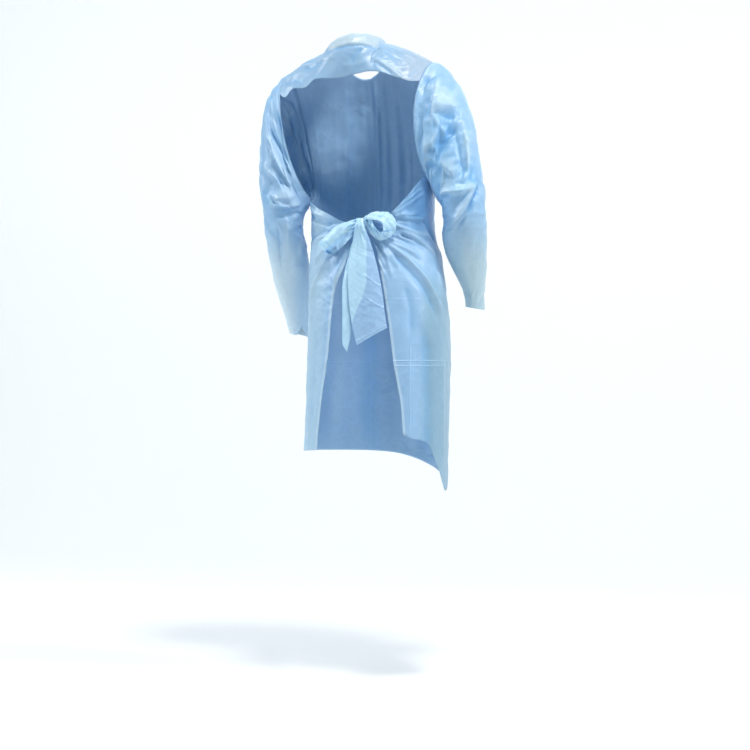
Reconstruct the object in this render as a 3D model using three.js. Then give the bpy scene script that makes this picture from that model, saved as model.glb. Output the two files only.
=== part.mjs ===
// Open-back isolation gown of thin film, in the hollow form that it takes when it is worn.
// Millimetres, +Z up, +X to the wearer's left, -Y to the wearer's front.
// The origin is midway between the shoulder points, level with the sides of the neck opening.
import * as THREE from "three";
import { mergeGeometries, mergeVertices } from "three/addons/utils/BufferGeometryUtils.js";

// ---------------------------------------------------------------- driving sizes
const WALL = 1.6; // wall of each film piece
const SEAM_GAP = 0.3; // clearance between pieces at a seam
const SEAM_INSET = SEAM_GAP + 0.9; // trimmed off an edge whose neighbour meets it at an angle
const ARMPIT_STAND_OFF = 2.4; // sleeve's underarm stands this far outside the body panel
const AROUND_SLEEVE = 24; // facets round a sleeve

// Horizontal sections of the body, from the hem up to the armpits.
const BODY_SECTIONS = [
  { z: -1045, midX: -35, midY: 4, halfWidth: 171, halfDepth: 148 },
  { z: -829, midX: -41, midY: 2, halfWidth: 169, halfDepth: 142 },
  { z: -687, midX: -44, midY: 2, halfWidth: 168, halfDepth: 137 },
  { z: -569, midX: -40, midY: 1, halfWidth: 162, halfDepth: 129 },
  { z: -497, midX: -34, midY: -3, halfWidth: 155, halfDepth: 118 },
  { z: -430, midX: -28, midY: -7, halfWidth: 147, halfDepth: 110 },
  { z: -345, midX: -27, midY: -6, halfWidth: 148, halfDepth: 119 },
];
const BODY_DEGREE = 2.4; // millimetres of film round the body for each degree
const SQUARENESS = 2.2; // exponent of the body's rounded sections: 2 is an ellipse

// Height of the hem round the body. Angles run from the front's middle, positive to the wearer's left.
const HEM = [
  { angle: -143, z: -906 },
  { angle: -136, z: -916 },
  { angle: -128, z: -919 },
  { angle: -118, z: -931 },
  { angle: -112, z: -966 },
  { angle: -106, z: -992 },
  { angle: -94, z: -1038 },
  { angle: -70, z: -1022 },
  { angle: -35, z: -980 },
  { angle: 0, z: -958 },
  { angle: 60, z: -952 },
  { angle: 95, z: -950 },
  { angle: 135, z: -944 },
];

// The two free back edges of the body panel, as the angle reached at each height.
const BACK_EDGE = {
  left: [
    { z: -944, angle: 135 },
    { z: -850, angle: 138 },
    { z: -712, angle: 144 },
    { z: -620, angle: 147 },
    { z: -567, angle: 151 },
    { z: -509, angle: 161 },
    { z: -424, angle: 176 },
  ],
  right: [
    { z: -906, angle: -143 },
    { z: -827, angle: -146 },
    { z: -747, angle: -152 },
    { z: -663, angle: -156 },
    { z: -543, angle: -161 },
    { z: -487, angle: -164 },
    { z: -424, angle: -174 },
  ],
};

// Upper edges of the two back wraps: share 0 at the knot, 1 at the armpit.
const WRAP_TOP = {
  left: [
    { share: 0, z: -424 },
    { share: 0.1, z: -420 },
    { share: 0.25, z: -412 },
    { share: 0.45, z: -392 },
    { share: 0.75, z: -365 },
    { share: 1, z: -354 },
  ],
  right: [
    { share: 0, z: -424 },
    { share: 0.12, z: -415 },
    { share: 0.31, z: -400 },
    { share: 0.57, z: -345 },
    { share: 0.72, z: -312 },
    { share: 0.86, z: -320 },
    { share: 1, z: -330 },
  ],
};

// Neck opening: an oval whose rim rises from the throat to the nape.
const NECK = { midX: 5, midY: -12, halfWidth: 64, front: 75, back: 74 };
const NECK_RIM = [
  { angle: -180, z: 28 },
  { angle: -135, z: 25 },
  { angle: -90, z: 13 },
  { angle: -45, z: -36 },
  { angle: 0, z: -62 },
  { angle: 45, z: -42 },
  { angle: 90, z: 2 },
  { angle: 135, z: 18 },
  { angle: 180, z: 28 },
];

// Sleeves, as sections from the armhole to the cuff. `top` is the outer side of the arm, `under` the inner,
// `front` and `back` the half depths, and `swing` moves the back of a section sideways.
const SLEEVE_SECTIONS = {
  left: [
    { topX: 182, topY: 2, topZ: -54, underX: 123.4, underY: -5, underZ: -350, front: 76, back: 80, swing: 15 },
    { topX: 212, topY: 1, topZ: -82, underX: 126, underY: 0, underZ: -362, front: 76, back: 77, swing: 9 },
    { topX: 231, topY: 2, topZ: -122, underX: 131, underY: 5, underZ: -374, front: 73, back: 73, swing: 4 },
    { topX: 242, topY: 6, topZ: -184, underX: 136, underY: 11, underZ: -386, front: 69, back: 70, swing: 0 },
    { topX: 245, topY: 10, topZ: -258, underX: 140, underY: 12, underZ: -398, front: 65, back: 67, swing: 0 },
    { topX: 243, topY: 11, topZ: -325, underX: 142, underY: 11, underZ: -414, front: 60, back: 63, swing: 0 },
    { topX: 237, topY: 4, topZ: -395, underX: 141, underY: 3, underZ: -436, front: 55, back: 58, swing: 0 },
    { topX: 235, topY: -15, topZ: -455, underX: 140, underY: -17, underZ: -468, front: 51, back: 53, swing: 0 },
    { topX: 235, topY: -50, topZ: -520, underX: 144, underY: -54, underZ: -520, front: 48, back: 49, swing: 0 },
    { topX: 229, topY: -88, topZ: -585, underX: 151, underY: -92, underZ: -582, front: 45, back: 45, swing: 0 },
    { topX: 221, topY: -117, topZ: -638, underX: 159, underY: -121, underZ: -636, front: 42, back: 41, swing: 0 },
    { topX: 216, topY: -132, topZ: -666, underX: 165, underY: -140, underZ: -680, front: 39, back: 37, swing: 0 },
  ],
  right: [
    { topX: -178, topY: 2, topZ: -39, underX: -177.4, underY: -5, underZ: -326, front: 76, back: 86, swing: 30 },
    { topX: -209, topY: 1, topZ: -55, underX: -180, underY: 0, underZ: -338, front: 77, back: 83, swing: 19 },
    { topX: -234, topY: 2, topZ: -92, underX: -184, underY: 6, underZ: -349, front: 74, back: 78, swing: 10 },
    { topX: -258, topY: 6, topZ: -144, underX: -190, underY: 14, underZ: -360, front: 71, back: 74, swing: 4 },
    { topX: -280, topY: 12, topZ: -218, underX: -196, underY: 17, underZ: -372, front: 67, back: 70, swing: 0 },
    { topX: -294, topY: 18, topZ: -300, underX: -202, underY: 20, underZ: -388, front: 63, back: 66, swing: 0 },
    { topX: -303, topY: 22, topZ: -372, underX: -203, underY: 18, underZ: -410, front: 58, back: 61, swing: 0 },
    { topX: -305, topY: 12, topZ: -430, underX: -200, underY: 8, underZ: -438, front: 54, back: 56, swing: 0 },
    { topX: -298, topY: -20, topZ: -488, underX: -203, underY: -20, underZ: -484, front: 50, back: 51, swing: 0 },
    { topX: -288, topY: -57, topZ: -534, underX: -214, underY: -52, underZ: -526, front: 45, back: 45, swing: 0 },
    { topX: -279, topY: -90, topZ: -577, underX: -230, underY: -82, underZ: -568, front: 39, back: 38, swing: 0 },
    { topX: -274, topY: -116, topZ: -614, underX: -232, underY: -108, underZ: -607, front: 36, back: 35, swing: 0 },
  ],
};
// Hand notch cut into the left cuff's edge: where it is round the cuff, its half width there, and its depth.
const HAND_NOTCH = { around: 0.333, halfWidth: 0.085, depth: 42 };

// Lower edge of the back yoke, from the wearer's left to the right, scalloped where the film hangs slack.
const YOKE_EDGE = [
  { x: 165, y: 74, z: -117 },
  { x: 144, y: 80, z: -99 },
  { x: 110, y: 88, z: -98 },
  { x: 88, y: 89, z: -81 },
  { x: 50, y: 93, z: -81 },
  { x: 13, y: 95, z: -80 },
  { x: -20, y: 96, z: -72 },
  { x: -54, y: 96, z: -69 },
  { x: -87, y: 94, z: -76 },
  { x: -112, y: 90, z: -86 },
  { x: -138, y: 84, z: -94 },
];
const YOKE_CORNER_AROUND = 0.14; // where the yoke's lower corner meets the armhole, as a share of its round

// Bow at the back of the waist. Each strip runs along its rows; `leftX..` and `rightX..` are its two edges,
// and `swell` pushes its middle outward from the body.
const KNOT = { x: -36, y: 121, z: -420, length: 22, halfHeight: 15, halfDepth: 8, tilt: -6, pinch: 0.22 };
const BOW_STRIPS = {
  bow_loop_left: [
    { ax: -23.8, ay: 121, az: -412, bx: -23.8, by: 124, bz: -428, swell: 2 },
    { ax: -8, ay: 127, az: -416, bx: -9, by: 131, bz: -438, swell: 5 },
    { ax: 24, ay: 128, az: -427, bx: 20, by: 134, bz: -459, swell: 6 },
    { ax: 54, ay: 123, az: -451, bx: 42, by: 130, bz: -475, swell: 4 },
    { ax: 72, ay: 112, az: -464, bx: 53, by: 121, bz: -483, swell: 2 },
    { ax: 70, ay: 106, az: -470, bx: 42, by: 113, bz: -491, swell: -1 },
    { ax: 56, ay: 105, az: -466, bx: 26, by: 111, bz: -483, swell: -2 },
    { ax: 24, ay: 110, az: -447, bx: 2, by: 114, bz: -463, swell: -2 },
    { ax: -5, ay: 114, az: -431, bx: -16, by: 117, bz: -444, swell: -1 },
    { ax: -23.8, ay: 116, az: -418, bx: -23.8, by: 117, bz: -432, swell: 0 },
  ],
  bow_loop_right: [
    { ax: -49, ay: 115, az: -407, bx: -49, by: 125, bz: -414, swell: 0 },
    { ax: -62, ay: 113, az: -397, bx: -59, by: 134, bz: -411, swell: 2 },
    { ax: -88, ay: 112, az: -393, bx: -80, by: 137, bz: -410, swell: 3 },
    { ax: -103, ay: 109, az: -404, bx: -96, by: 137, bz: -422, swell: 2 },
    { ax: -110, ay: 107, az: -424, bx: -101, by: 135, bz: -438, swell: 0 },
    { ax: -105, ay: 106, az: -438, bx: -89, by: 133, bz: -451, swell: -1 },
    { ax: -84, ay: 108, az: -444, bx: -68, by: 130, bz: -455, swell: -2 },
    { ax: -64, ay: 110, az: -439, bx: -56, by: 127, bz: -447, swell: -1 },
    { ax: -49, ay: 115, az: -427, bx: -49, by: 122, bz: -431, swell: 0 },
  ],
  tie_tail_left: [
    { ax: -22, ay: 119, az: -436.6, bx: -34, by: 119, bz: -438, swell: 0 },
    { ax: -8, ay: 119, az: -473, bx: -27, by: 123, bz: -476, swell: 3 },
    { ax: 5, ay: 120, az: -522, bx: -13, by: 125, bz: -524, swell: 3 },
    { ax: 12, ay: 122, az: -572, bx: -8, by: 127, bz: -575, swell: 4 },
    { ax: 11, ay: 124, az: -632, bx: -10, by: 129, bz: -632, swell: 3 },
    { ax: 11, ay: 125, az: -685, bx: -10, by: 130, bz: -678, swell: 2 },
    { ax: 10, ay: 126, az: -701, bx: -2, by: 131, bz: -717, swell: 0 },
  ],
  tie_tail_right: [
    { ax: -26, ay: 125, az: -436.8, bx: -46, by: 125, bz: -438.4, swell: 1 },
    { ax: -13, ay: 131, az: -477, bx: -60, by: 129, bz: -475, swell: 5 },
    { ax: -5, ay: 134, az: -525, bx: -74, by: 132, bz: -524, swell: 8 },
    { ax: -7, ay: 136, az: -589, bx: -86, by: 134, bz: -581, swell: 9 },
    { ax: -15, ay: 138, az: -653, bx: -92, by: 136, bz: -627, swell: 7 },
    { ax: -27, ay: 139, az: -702, bx: -98, by: 138, bz: -663, swell: 4 },
  ],
};

// ---------------------------------------------------------------- folds
// Each fold runs from one end past a middle to the other. `rise` is the height of its ridge, or the depth of
// its trough when it is negative, and `half` is half its width.
const BODY_FOLDS = [
  // gathers that spread from the knot over the right wrap
  { fromA: -147, fromZ: -407, midA: -132, midZ: -405, toA: -106, toZ: -408, rise: 4, half: 8 },
  { fromA: -149, fromZ: -415, midA: -132, midZ: -419, toA: -102, toZ: -429, rise: -4, half: 8 },
  { fromA: -147, fromZ: -424, midA: -124, midZ: -437, toA: -94, toZ: -452, rise: 5, half: 9 },
  { fromA: -144, fromZ: -437, midA: -123, midZ: -455, toA: -100, toZ: -494, rise: -5, half: 10 },
  { fromA: -152, fromZ: -452, midA: -138, midZ: -466, toA: -118, toZ: -493, rise: 5, half: 11 },
  { fromA: -157, fromZ: -455, midA: -131, midZ: -505, toA: -92, toZ: -720, rise: 8, half: 15 },
  { fromA: -154, fromZ: -484, midA: -134, midZ: -532, toA: -98, toZ: -720, rise: -5, half: 14 },
  // pulls over the left wrap
  { fromA: 170, fromZ: -440, midA: 134, midZ: -478, toA: 108, toZ: -620, rise: 6, half: 14 },
  { fromA: 172, fromZ: -456, midA: 154, midZ: -505, toA: 146, toZ: -580, rise: -4, half: 13 },
  { fromA: 148, fromZ: -417, midA: 126, midZ: -434, toA: 94, toZ: -450, rise: -4, half: 10 },
  // long soft folds down the skirt
  { fromA: -64, fromZ: -470, midA: -66, midZ: -720, toA: -60, toZ: -1060, rise: 6, half: 20 },
  { fromA: -38, fromZ: -520, midA: -34, midZ: -760, toA: -36, toZ: -1060, rise: -6, half: 24 },
  { fromA: -8, fromZ: -440, midA: -10, midZ: -700, toA: -5, toZ: -1060, rise: 6, half: 22 },
  { fromA: 22, fromZ: -500, midA: 24, midZ: -760, toA: 18, toZ: -1060, rise: -6, half: 24 },
  { fromA: 52, fromZ: -460, midA: 50, midZ: -700, toA: 55, toZ: -1060, rise: 6, half: 20 },
  { fromA: -124, fromZ: -640, midA: -122, midZ: -800, toA: -118, toZ: -1060, rise: -5, half: 14 },
];
const WRAP_PLEAT_RISE = { left: 1.1, right: 1.7 }; // tight pleats along the upper edges of the wraps
const WRAP_PLEAT_ROWS = 5;
// Seam between the upper edge of a wrap and the back of the armhole: where it starts along the wrap, how far
// round the armhole it goes, and how much of the wrap's edge it draws in.
const WRAP_SEAM = {
  left: { start: 0.9, around: 0.01, amount: 0 },
  right: { start: 0.72, around: 0.085, amount: 1 },
};
const KNOT_PULL = { rise: 8, reach: 26 }; // the wraps stand off the body where they gather into the knot
const SEAM_PULL_DEPTH = 70; // height over which the wrap gives way to that pull

// Folds of the sleeves: shares round the arm and down it.
const SLEEVE_FOLDS = {
  left: [
    { fromA: 0.1, fromZ: 0.18, midA: 0.24, midZ: 0.13, toA: 0.35, toZ: 0.02, rise: -5, half: 16 },
    { fromA: 0.1, fromZ: 0.25, midA: 0.29, midZ: 0.18, toA: 0.43, toZ: 0.12, rise: 6, half: 16 },
    { fromA: 0.22, fromZ: 0.3, midA: 0.3, midZ: 0.36, toA: 0.16, toZ: 0.49, rise: -5, half: 17 },
    { fromA: 0.14, fromZ: 0.52, midA: 0.33, midZ: 0.41, toA: 0.47, toZ: 0.27, rise: 7, half: 16 },
    { fromA: 0.16, fromZ: 0.58, midA: 0.34, midZ: 0.48, toA: 0.48, toZ: 0.36, rise: -6, half: 16 },
    { fromA: 0.46, fromZ: 0.47, midA: 0.42, midZ: 0.62, toA: 0.36, toZ: 0.76, rise: 4, half: 16 },
    { fromA: 0.95, fromZ: 0.4, midA: 0.75, midZ: 0.43, toA: 0.56, toZ: 0.38, rise: -6, half: 17 },
    { fromA: 0.93, fromZ: 0.5, midA: 0.76, midZ: 0.5, toA: 0.58, toZ: 0.47, rise: 6, half: 16 },
    { fromA: 0.9, fromZ: 0.6, midA: 0.75, midZ: 0.57, toA: 0.6, toZ: 0.6, rise: -5, half: 16 },
    { fromA: 0.95, fromZ: 0.08, midA: 0.86, midZ: 0.17, toA: 0.78, toZ: 0.32, rise: 5, half: 18 },
  ],
  right: [
    { fromA: 0.16, fromZ: 0.03, midA: 0.11, midZ: 0.07, toA: 0.02, toZ: 0.11, rise: -5, half: 16 },
    { fromA: 0.2, fromZ: 0.12, midA: 0.14, midZ: 0.18, toA: 0.06, toZ: 0.23, rise: 7, half: 17 },
    { fromA: 0.22, fromZ: 0.17, midA: 0.16, midZ: 0.24, toA: 0.1, toZ: 0.3, rise: -6, half: 16 },
    { fromA: 0.22, fromZ: 0.22, midA: 0.28, midZ: 0.17, toA: 0.36, toZ: 0.04, rise: 5, half: 16 },
    { fromA: 0.34, fromZ: 0.2, midA: 0.3, midZ: 0.32, toA: 0.22, toZ: 0.43, rise: 5, half: 16 },
    { fromA: 0.04, fromZ: 0.16, midA: 0.09, midZ: 0.32, toA: 0.11, toZ: 0.47, rise: 4, half: 18 },
    { fromA: 0.08, fromZ: 0.48, midA: 0.21, midZ: 0.54, toA: 0.34, toZ: 0.63, rise: 8, half: 17 },
    { fromA: 0.06, fromZ: 0.55, midA: 0.2, midZ: 0.61, toA: 0.34, toZ: 0.7, rise: -6, half: 17 },
    { fromA: 0.95, fromZ: 0.41, midA: 0.75, midZ: 0.45, toA: 0.57, toZ: 0.39, rise: -6, half: 17 },
    { fromA: 0.93, fromZ: 0.53, midA: 0.76, midZ: 0.52, toA: 0.58, toZ: 0.49, rise: 6, half: 16 },
    { fromA: 0.9, fromZ: 0.62, midA: 0.75, midZ: 0.6, toA: 0.6, toZ: 0.62, rise: -5, half: 16 },
    { fromA: 0.95, fromZ: 0.09, midA: 0.87, midZ: 0.18, toA: 0.79, toZ: 0.33, rise: 5, half: 18 },
  ],
};
const SLEEVE_GIRTH = 400;
const SLEEVE_LENGTH = 620;

// ---------------------------------------------------------------- tables and curves
// Value of a column at a key, on a smooth curve through the rows.
function lookUp(rows, key, column, at) {
  const rising = rows[rows.length - 1][key] > rows[0][key];
  const ordered = rising ? rows : [...rows].reverse();
  const last = ordered.length - 1;
  const wanted = THREE.MathUtils.clamp(at, ordered[0][key], ordered[last][key]);
  let i = 0;
  while (i < last - 1 && wanted > ordered[i + 1][key]) i += 1;
  const slopeAt = (j) => {
    const before = ordered[Math.max(j - 1, 0)];
    const after = ordered[Math.min(j + 1, last)];
    return (after[column] - before[column]) / (after[key] - before[key]);
  };
  const span = ordered[i + 1][key] - ordered[i][key];
  const t = (wanted - ordered[i][key]) / span;
  return hermite(ordered[i][column], ordered[i + 1][column], slopeAt(i) * span, slopeAt(i + 1) * span, t);
}

// Cubic curve from one value to another with the slopes at its ends.
function hermite(from, to, slopeFrom, slopeTo, t) {
  const t2 = t * t;
  const t3 = t2 * t;
  const places = (2 * t3 - 3 * t2 + 1) * from + (3 * t2 - 2 * t3) * to;
  return places + (t3 - 2 * t2 + t) * slopeFrom + (t3 - t2) * slopeTo;
}

// A column of a table of evenly spaced rows, at a share of the way along it.
function along(rows, column, share) {
  const last = rows.length - 1;
  const place = THREE.MathUtils.clamp(share, 0, 1) * last;
  const i = Math.min(Math.floor(place), last - 1);
  const slopeAt = (j) => (rows[Math.min(j + 1, last)][column] - rows[Math.max(j - 1, 0)][column]) / 2;
  return hermite(rows[i][column], rows[i + 1][column], slopeAt(i), slopeAt(i + 1), place - i);
}

function pointAlong(rows, share, xColumn, yColumn, zColumn) {
  return new THREE.Vector3(along(rows, xColumn, share), along(rows, yColumn, share), along(rows, zColumn, share));
}

function hermitePoint(from, to, slopeFrom, slopeTo, t) {
  return new THREE.Vector3(
    hermite(from.x, to.x, slopeFrom.x, slopeTo.x, t),
    hermite(from.y, to.y, slopeFrom.y, slopeTo.y, t),
    hermite(from.z, to.z, slopeFrom.z, slopeTo.z, t),
  );
}

const smooth = (t) => THREE.MathUtils.smoothstep(t, 0, 1);
const bump = (distance, halfWidth) => Math.exp(-((distance / halfWidth) ** 2));
const radians = THREE.MathUtils.degToRad;
const FOLD_STEPS = 8;

// ---------------------------------------------------------------- film sheets and walls
// A grid laid over a surface of two shares, each from 0 to 1. A tube's last column is its first one again.
function filmSheet(surface, columns, rows, isTube) {
  const sheet = new THREE.PlaneGeometry(1, 1, columns, rows);
  const position = sheet.attributes.position;
  for (let i = 0; i < position.count; i += 1) {
    const u = Math.round((position.getX(i) + 0.5) * columns) / columns;
    const v = Math.round((position.getY(i) + 0.5) * rows) / rows;
    const point = surface(isTube ? u % 1 : u, v);
    position.setXYZ(i, point.x, point.y, point.z);
  }
  sheet.deleteAttribute("normal");
  sheet.deleteAttribute("uv");
  return sheet;
}

// A closed wall: the sheet moved out by half of the wall, the sheet moved in, and a rim round its open edges.
function filmWall(sheets) {
  const middle = mergeVertices(mergeGeometries(sheets), 1e-3);
  middle.computeVertexNormals();
  const count = middle.attributes.position.count;
  const corners = [];
  for (const offset of [WALL / 2, -WALL / 2]) {
    for (let i = 0; i < count; i += 1) {
      const point = new THREE.Vector3().fromBufferAttribute(middle.attributes.position, i);
      const normal = new THREE.Vector3().fromBufferAttribute(middle.attributes.normal, i);
      corners.push(point.addScaledVector(normal, offset));
    }
  }
  const faces = [];
  const openEdges = new Map();
  for (let i = 0; i < middle.index.count; i += 3) {
    const [a, b, c] = [0, 1, 2].map((k) => middle.index.getX(i + k));
    faces.push(a, b, c, a + count, c + count, b + count);
    for (const [from, to] of [[a, b], [b, c], [c, a]]) {
      if (!openEdges.delete(`${to} ${from}`)) openEdges.set(`${from} ${to}`, [from, to]);
    }
  }
  for (const [from, to] of openEdges.values()) faces.push(to, from, from + count, to, from + count, to + count);
  const wall = new THREE.BufferGeometry().setFromPoints(corners);
  wall.setIndex(faces);
  wall.computeVertexNormals();
  return wall;
}

// ---------------------------------------------------------------- folds over a surface
// Height of all the folds at a place; `across` and `down` turn table values into millimetres of film.
function foldHeight(folds, place, across, down) {
  let height = 0;
  for (const fold of folds) {
    let nearest = Infinity;
    let share = 0;
    let previous = null;
    for (let i = 0; i <= FOLD_STEPS; i += 1) {
      const t = i / FOLD_STEPS;
      const spot = new THREE.Vector2(
        across(quadratic(fold.fromA, fold.midA, fold.toA, t)),
        down(quadratic(fold.fromZ, fold.midZ, fold.toZ, t)),
      );
      if (previous) {
        const step = spot.clone().sub(previous);
        const part = THREE.MathUtils.clamp(place.clone().sub(previous).dot(step) / step.lengthSq(), 0, 1);
        const distance = previous.clone().addScaledVector(step, part).distanceTo(place);
        if (distance < nearest) {
          nearest = distance;
          share = (i - 1 + part) / FOLD_STEPS;
        }
      }
      previous = spot;
    }
    const taper = smooth(share / 0.15) * smooth((1 - share) / 0.35);
    height += fold.rise * taper * bump(nearest, fold.half);
  }
  return height;
}

// Smooth course through three values.
const quadratic = (from, middle, to, t) =>
  from * (1 - t) * (1 - 2 * t) + middle * 4 * t * (1 - t) + to * t * (2 * t - 1);

// ---------------------------------------------------------------- armholes
const SIDES = { left: 1, right: -1 };

// Point of a sleeve: `around` is 0 at the top of the arm, 0.25 at the back, 0.5 under the arm, 0.75 in front.
function sleevePoint(side, around, share) {
  const rows = SLEEVE_SECTIONS[side];
  const top = pointAlong(rows, share, "topX", "topY", "topZ");
  const under = pointAlong(rows, share, "underX", "underY", "underZ");
  const centre = top.clone().add(under).multiplyScalar(0.5);
  const toTop = top.sub(centre);
  const turn = around * 2 * Math.PI;
  const backward = Math.sin(turn);
  const point = centre.addScaledVector(toTop, Math.cos(turn));
  point.y += backward * along(rows, backward > 0 ? "back" : "front", share);
  point.x += Math.max(backward, 0) ** 1.6 * along(rows, "swing", share);
  return point;
}

// The same with its folds, which fade out at the armhole and the cuff.
function foldedSleeve(side, around, share) {
  const point = sleevePoint(side, around, share);
  const middle = sleevePoint(side, 0, share).add(sleevePoint(side, 0.5, share)).multiplyScalar(0.5);
  const outward = point.clone().sub(middle).normalize();
  const place = new THREE.Vector2(around * SLEEVE_GIRTH, share * SLEEVE_LENGTH);
  const rise = foldHeight(SLEEVE_FOLDS[side], place, (a) => a * SLEEVE_GIRTH, (z) => z * SLEEVE_LENGTH);
  const fade = smooth(share / 0.08) * smooth((1 - share) / 0.05);
  return point.addScaledVector(outward, rise * fade);
}

// Edge of the body side of an armhole, just inside the sleeve's own edge.
function armholeEdge(side, around) {
  const point = sleevePoint(side, around, 0);
  const nearArmpit = bump(around - 0.5, 0.1);
  point.x -= SIDES[side] * (SEAM_INSET + (ARMPIT_STAND_OFF - SEAM_INSET) * nearArmpit);
  return point;
}

// ---------------------------------------------------------------- body panel
// Point of the body's rounded form at an angle and a height.
function bodyPoint(angle, z) {
  const turn = radians(angle);
  const halfWidth = lookUp(BODY_SECTIONS, "z", "halfWidth", z);
  const halfDepth = lookUp(BODY_SECTIONS, "z", "halfDepth", z);
  const sideways = (Math.abs(Math.sin(turn)) / halfWidth) ** SQUARENESS;
  const frontward = (Math.abs(Math.cos(turn)) / halfDepth) ** SQUARENESS;
  const radius = (sideways + frontward) ** (-1 / SQUARENESS);
  const x = lookUp(BODY_SECTIONS, "z", "midX", z) + radius * Math.sin(turn);
  const y = lookUp(BODY_SECTIONS, "z", "midY", z) - radius * Math.cos(turn);
  return new THREE.Vector3(x, y, z);
}

function neckPoint(angle) {
  const turn = radians(angle);
  const depth = Math.abs(angle) < 90 ? NECK.front : NECK.back;
  const x = NECK.midX + NECK.halfWidth * Math.sin(turn);
  const y = NECK.midY - depth * Math.cos(turn);
  return new THREE.Vector3(x, y, lookUp(NECK_RIM, "angle", "z", angle));
}

const WRAP_COLUMNS = { left: 12, right: 20 };
const FRONT_COLUMNS = 30;
const SHOULDER_COLUMNS = 9; // of the front's columns, at each end
const BODY_COLUMNS = WRAP_COLUMNS.left + FRONT_COLUMNS + WRAP_COLUMNS.right;
const BODY_ROWS = 30;
const UPPER_ROWS = 13;
const SIDE_ANGLE = 90; // angle of the armpits
const NECK_SHIFT = 16; // the neck opening lies left of the chest's middle, and the front's columns follow it
const CHEST_DIP = 34; // how far the chest line passes below the armholes
const SHOULDER_SHARE = SHOULDER_COLUMNS / FRONT_COLUMNS;
const NECKLINE_CUT = 0.26; // share of the front's height taken out at the throat
const ARMHOLE_FALL = 2; // how fast the fullness at an armhole dies away: slowest at the shoulders
const ARCH_BACKWARD = 300; // how the film turns over the shoulders
const ARCH_UPWARD = 250;

// Height of the chest line, where the front leaves the rounded sections and opens to the armholes.
function chestLine(angle) {
  const share = (angle + SIDE_ANGLE) / (2 * SIDE_ANGLE);
  const dip = CHEST_DIP * smooth((SIDE_ANGLE - Math.abs(angle)) / 36);
  return THREE.MathUtils.lerp(WRAP_TOP.right.at(-1).z, WRAP_TOP.left.at(-1).z, share) - dip;
}

// Angle at a share of the way over the front, from the wearer's left side to the right.
function frontAngle(share) {
  return SIDE_ANGLE * (1 - 2 * share) + NECK_SHIFT * Math.sin(Math.PI * share) ** 2;
}

function shoulderPoint(side, share) {
  const outer = armholeEdge(side, 1);
  const inner = neckPoint(90 * SIDES[side]);
  const point = outer.clone().lerp(inner, share);
  point.z += 6 * Math.sin(Math.PI * share);
  return point;
}

// Skirt, waist and wraps: from the left back edge round the front to the right back edge, and up to the chest.
function lowerBody(u, v) {
  const column = u * BODY_COLUMNS;
  if (column < WRAP_COLUMNS.left) return wrapPoint("left", column / WRAP_COLUMNS.left, v);
  const frontShare = (column - WRAP_COLUMNS.left) / FRONT_COLUMNS;
  if (frontShare > 1) return wrapPoint("right", (BODY_COLUMNS - column) / WRAP_COLUMNS.right, v);
  const angle = frontAngle(frontShare);
  const hem = lookUp(HEM, "angle", "z", angle);
  const evenness = smooth(Math.min(frontShare, 1 - frontShare) * 4);
  const up = THREE.MathUtils.lerp(closerAtTop(v), v, evenness);
  return foldedBody(angle, THREE.MathUtils.lerp(hem, chestLine(angle), up));
}

// Front above the chest line. It leaves the rounded sections without a crease, follows the armholes at its
// sides and ends at the shoulder seams, and the neckline is cut out of it.
function upperFront(u, v) {
  const neckShare = THREE.MathUtils.clamp((u - SHOULDER_SHARE) / (1 - 2 * SHOULDER_SHARE), 0, 1);
  const share = v * (1 - NECKLINE_CUT * (4 * neckShare * (1 - neckShare)) ** 0.62);
  const point = chestArch(u, share);
  const fall = ARMHOLE_FALL * (1 + 3 * (1 - share) ** 2);
  point.addScaledVector(armholeFullness("left", share), (1 - u) ** fall);
  point.addScaledVector(armholeFullness("right", share), u ** fall);
  return point;
}

// Film from the chest line up to the line over the shoulders, as if it had neither neckline nor armholes.
function chestArch(u, share) {
  const angle = frontAngle(u);
  const chest = foldedBody(angle, chestLine(angle));
  const below = foldedBody(angle, chestLine(angle) - 10);
  const top = shoulderLine(u);
  const leaving = chest.clone().sub(below).multiplyScalar((top.z - chest.z) / 10);
  return hermitePoint(chest, top, leaving, new THREE.Vector3(0, ARCH_BACKWARD, ARCH_UPWARD), share);
}

// The line over the shoulders: along both seams, and arched across the neck opening between them.
function shoulderLine(u) {
  const fromEnd = Math.min(u, 1 - u);
  const nearSide = u < 0.5 ? "left" : "right";
  if (fromEnd < SHOULDER_SHARE - 1e-6) return shoulderPoint(nearSide, fromEnd / SHOULDER_SHARE);
  const share = (u - SHOULDER_SHARE) / (1 - 2 * SHOULDER_SHARE);
  const point = neckPoint(90).lerp(neckPoint(-90), share);
  point.y -= 4 * 4 * share * (1 - share);
  point.z += 11 * 4 * share * (1 - share);
  return point;
}

// How far the front edge of an armhole stands off the plain arch between its ends.
function armholeFullness(side, share) {
  const end = side === "left" ? 0 : 1;
  const edge = armholeEdge(side, 0.5 + 0.5 * share);
  const start = armholeEdge(side, 0.5).sub(chestArch(end, 0));
  return edge.sub(chestArch(end, share)).addScaledVector(start, share - 1);
}

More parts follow.
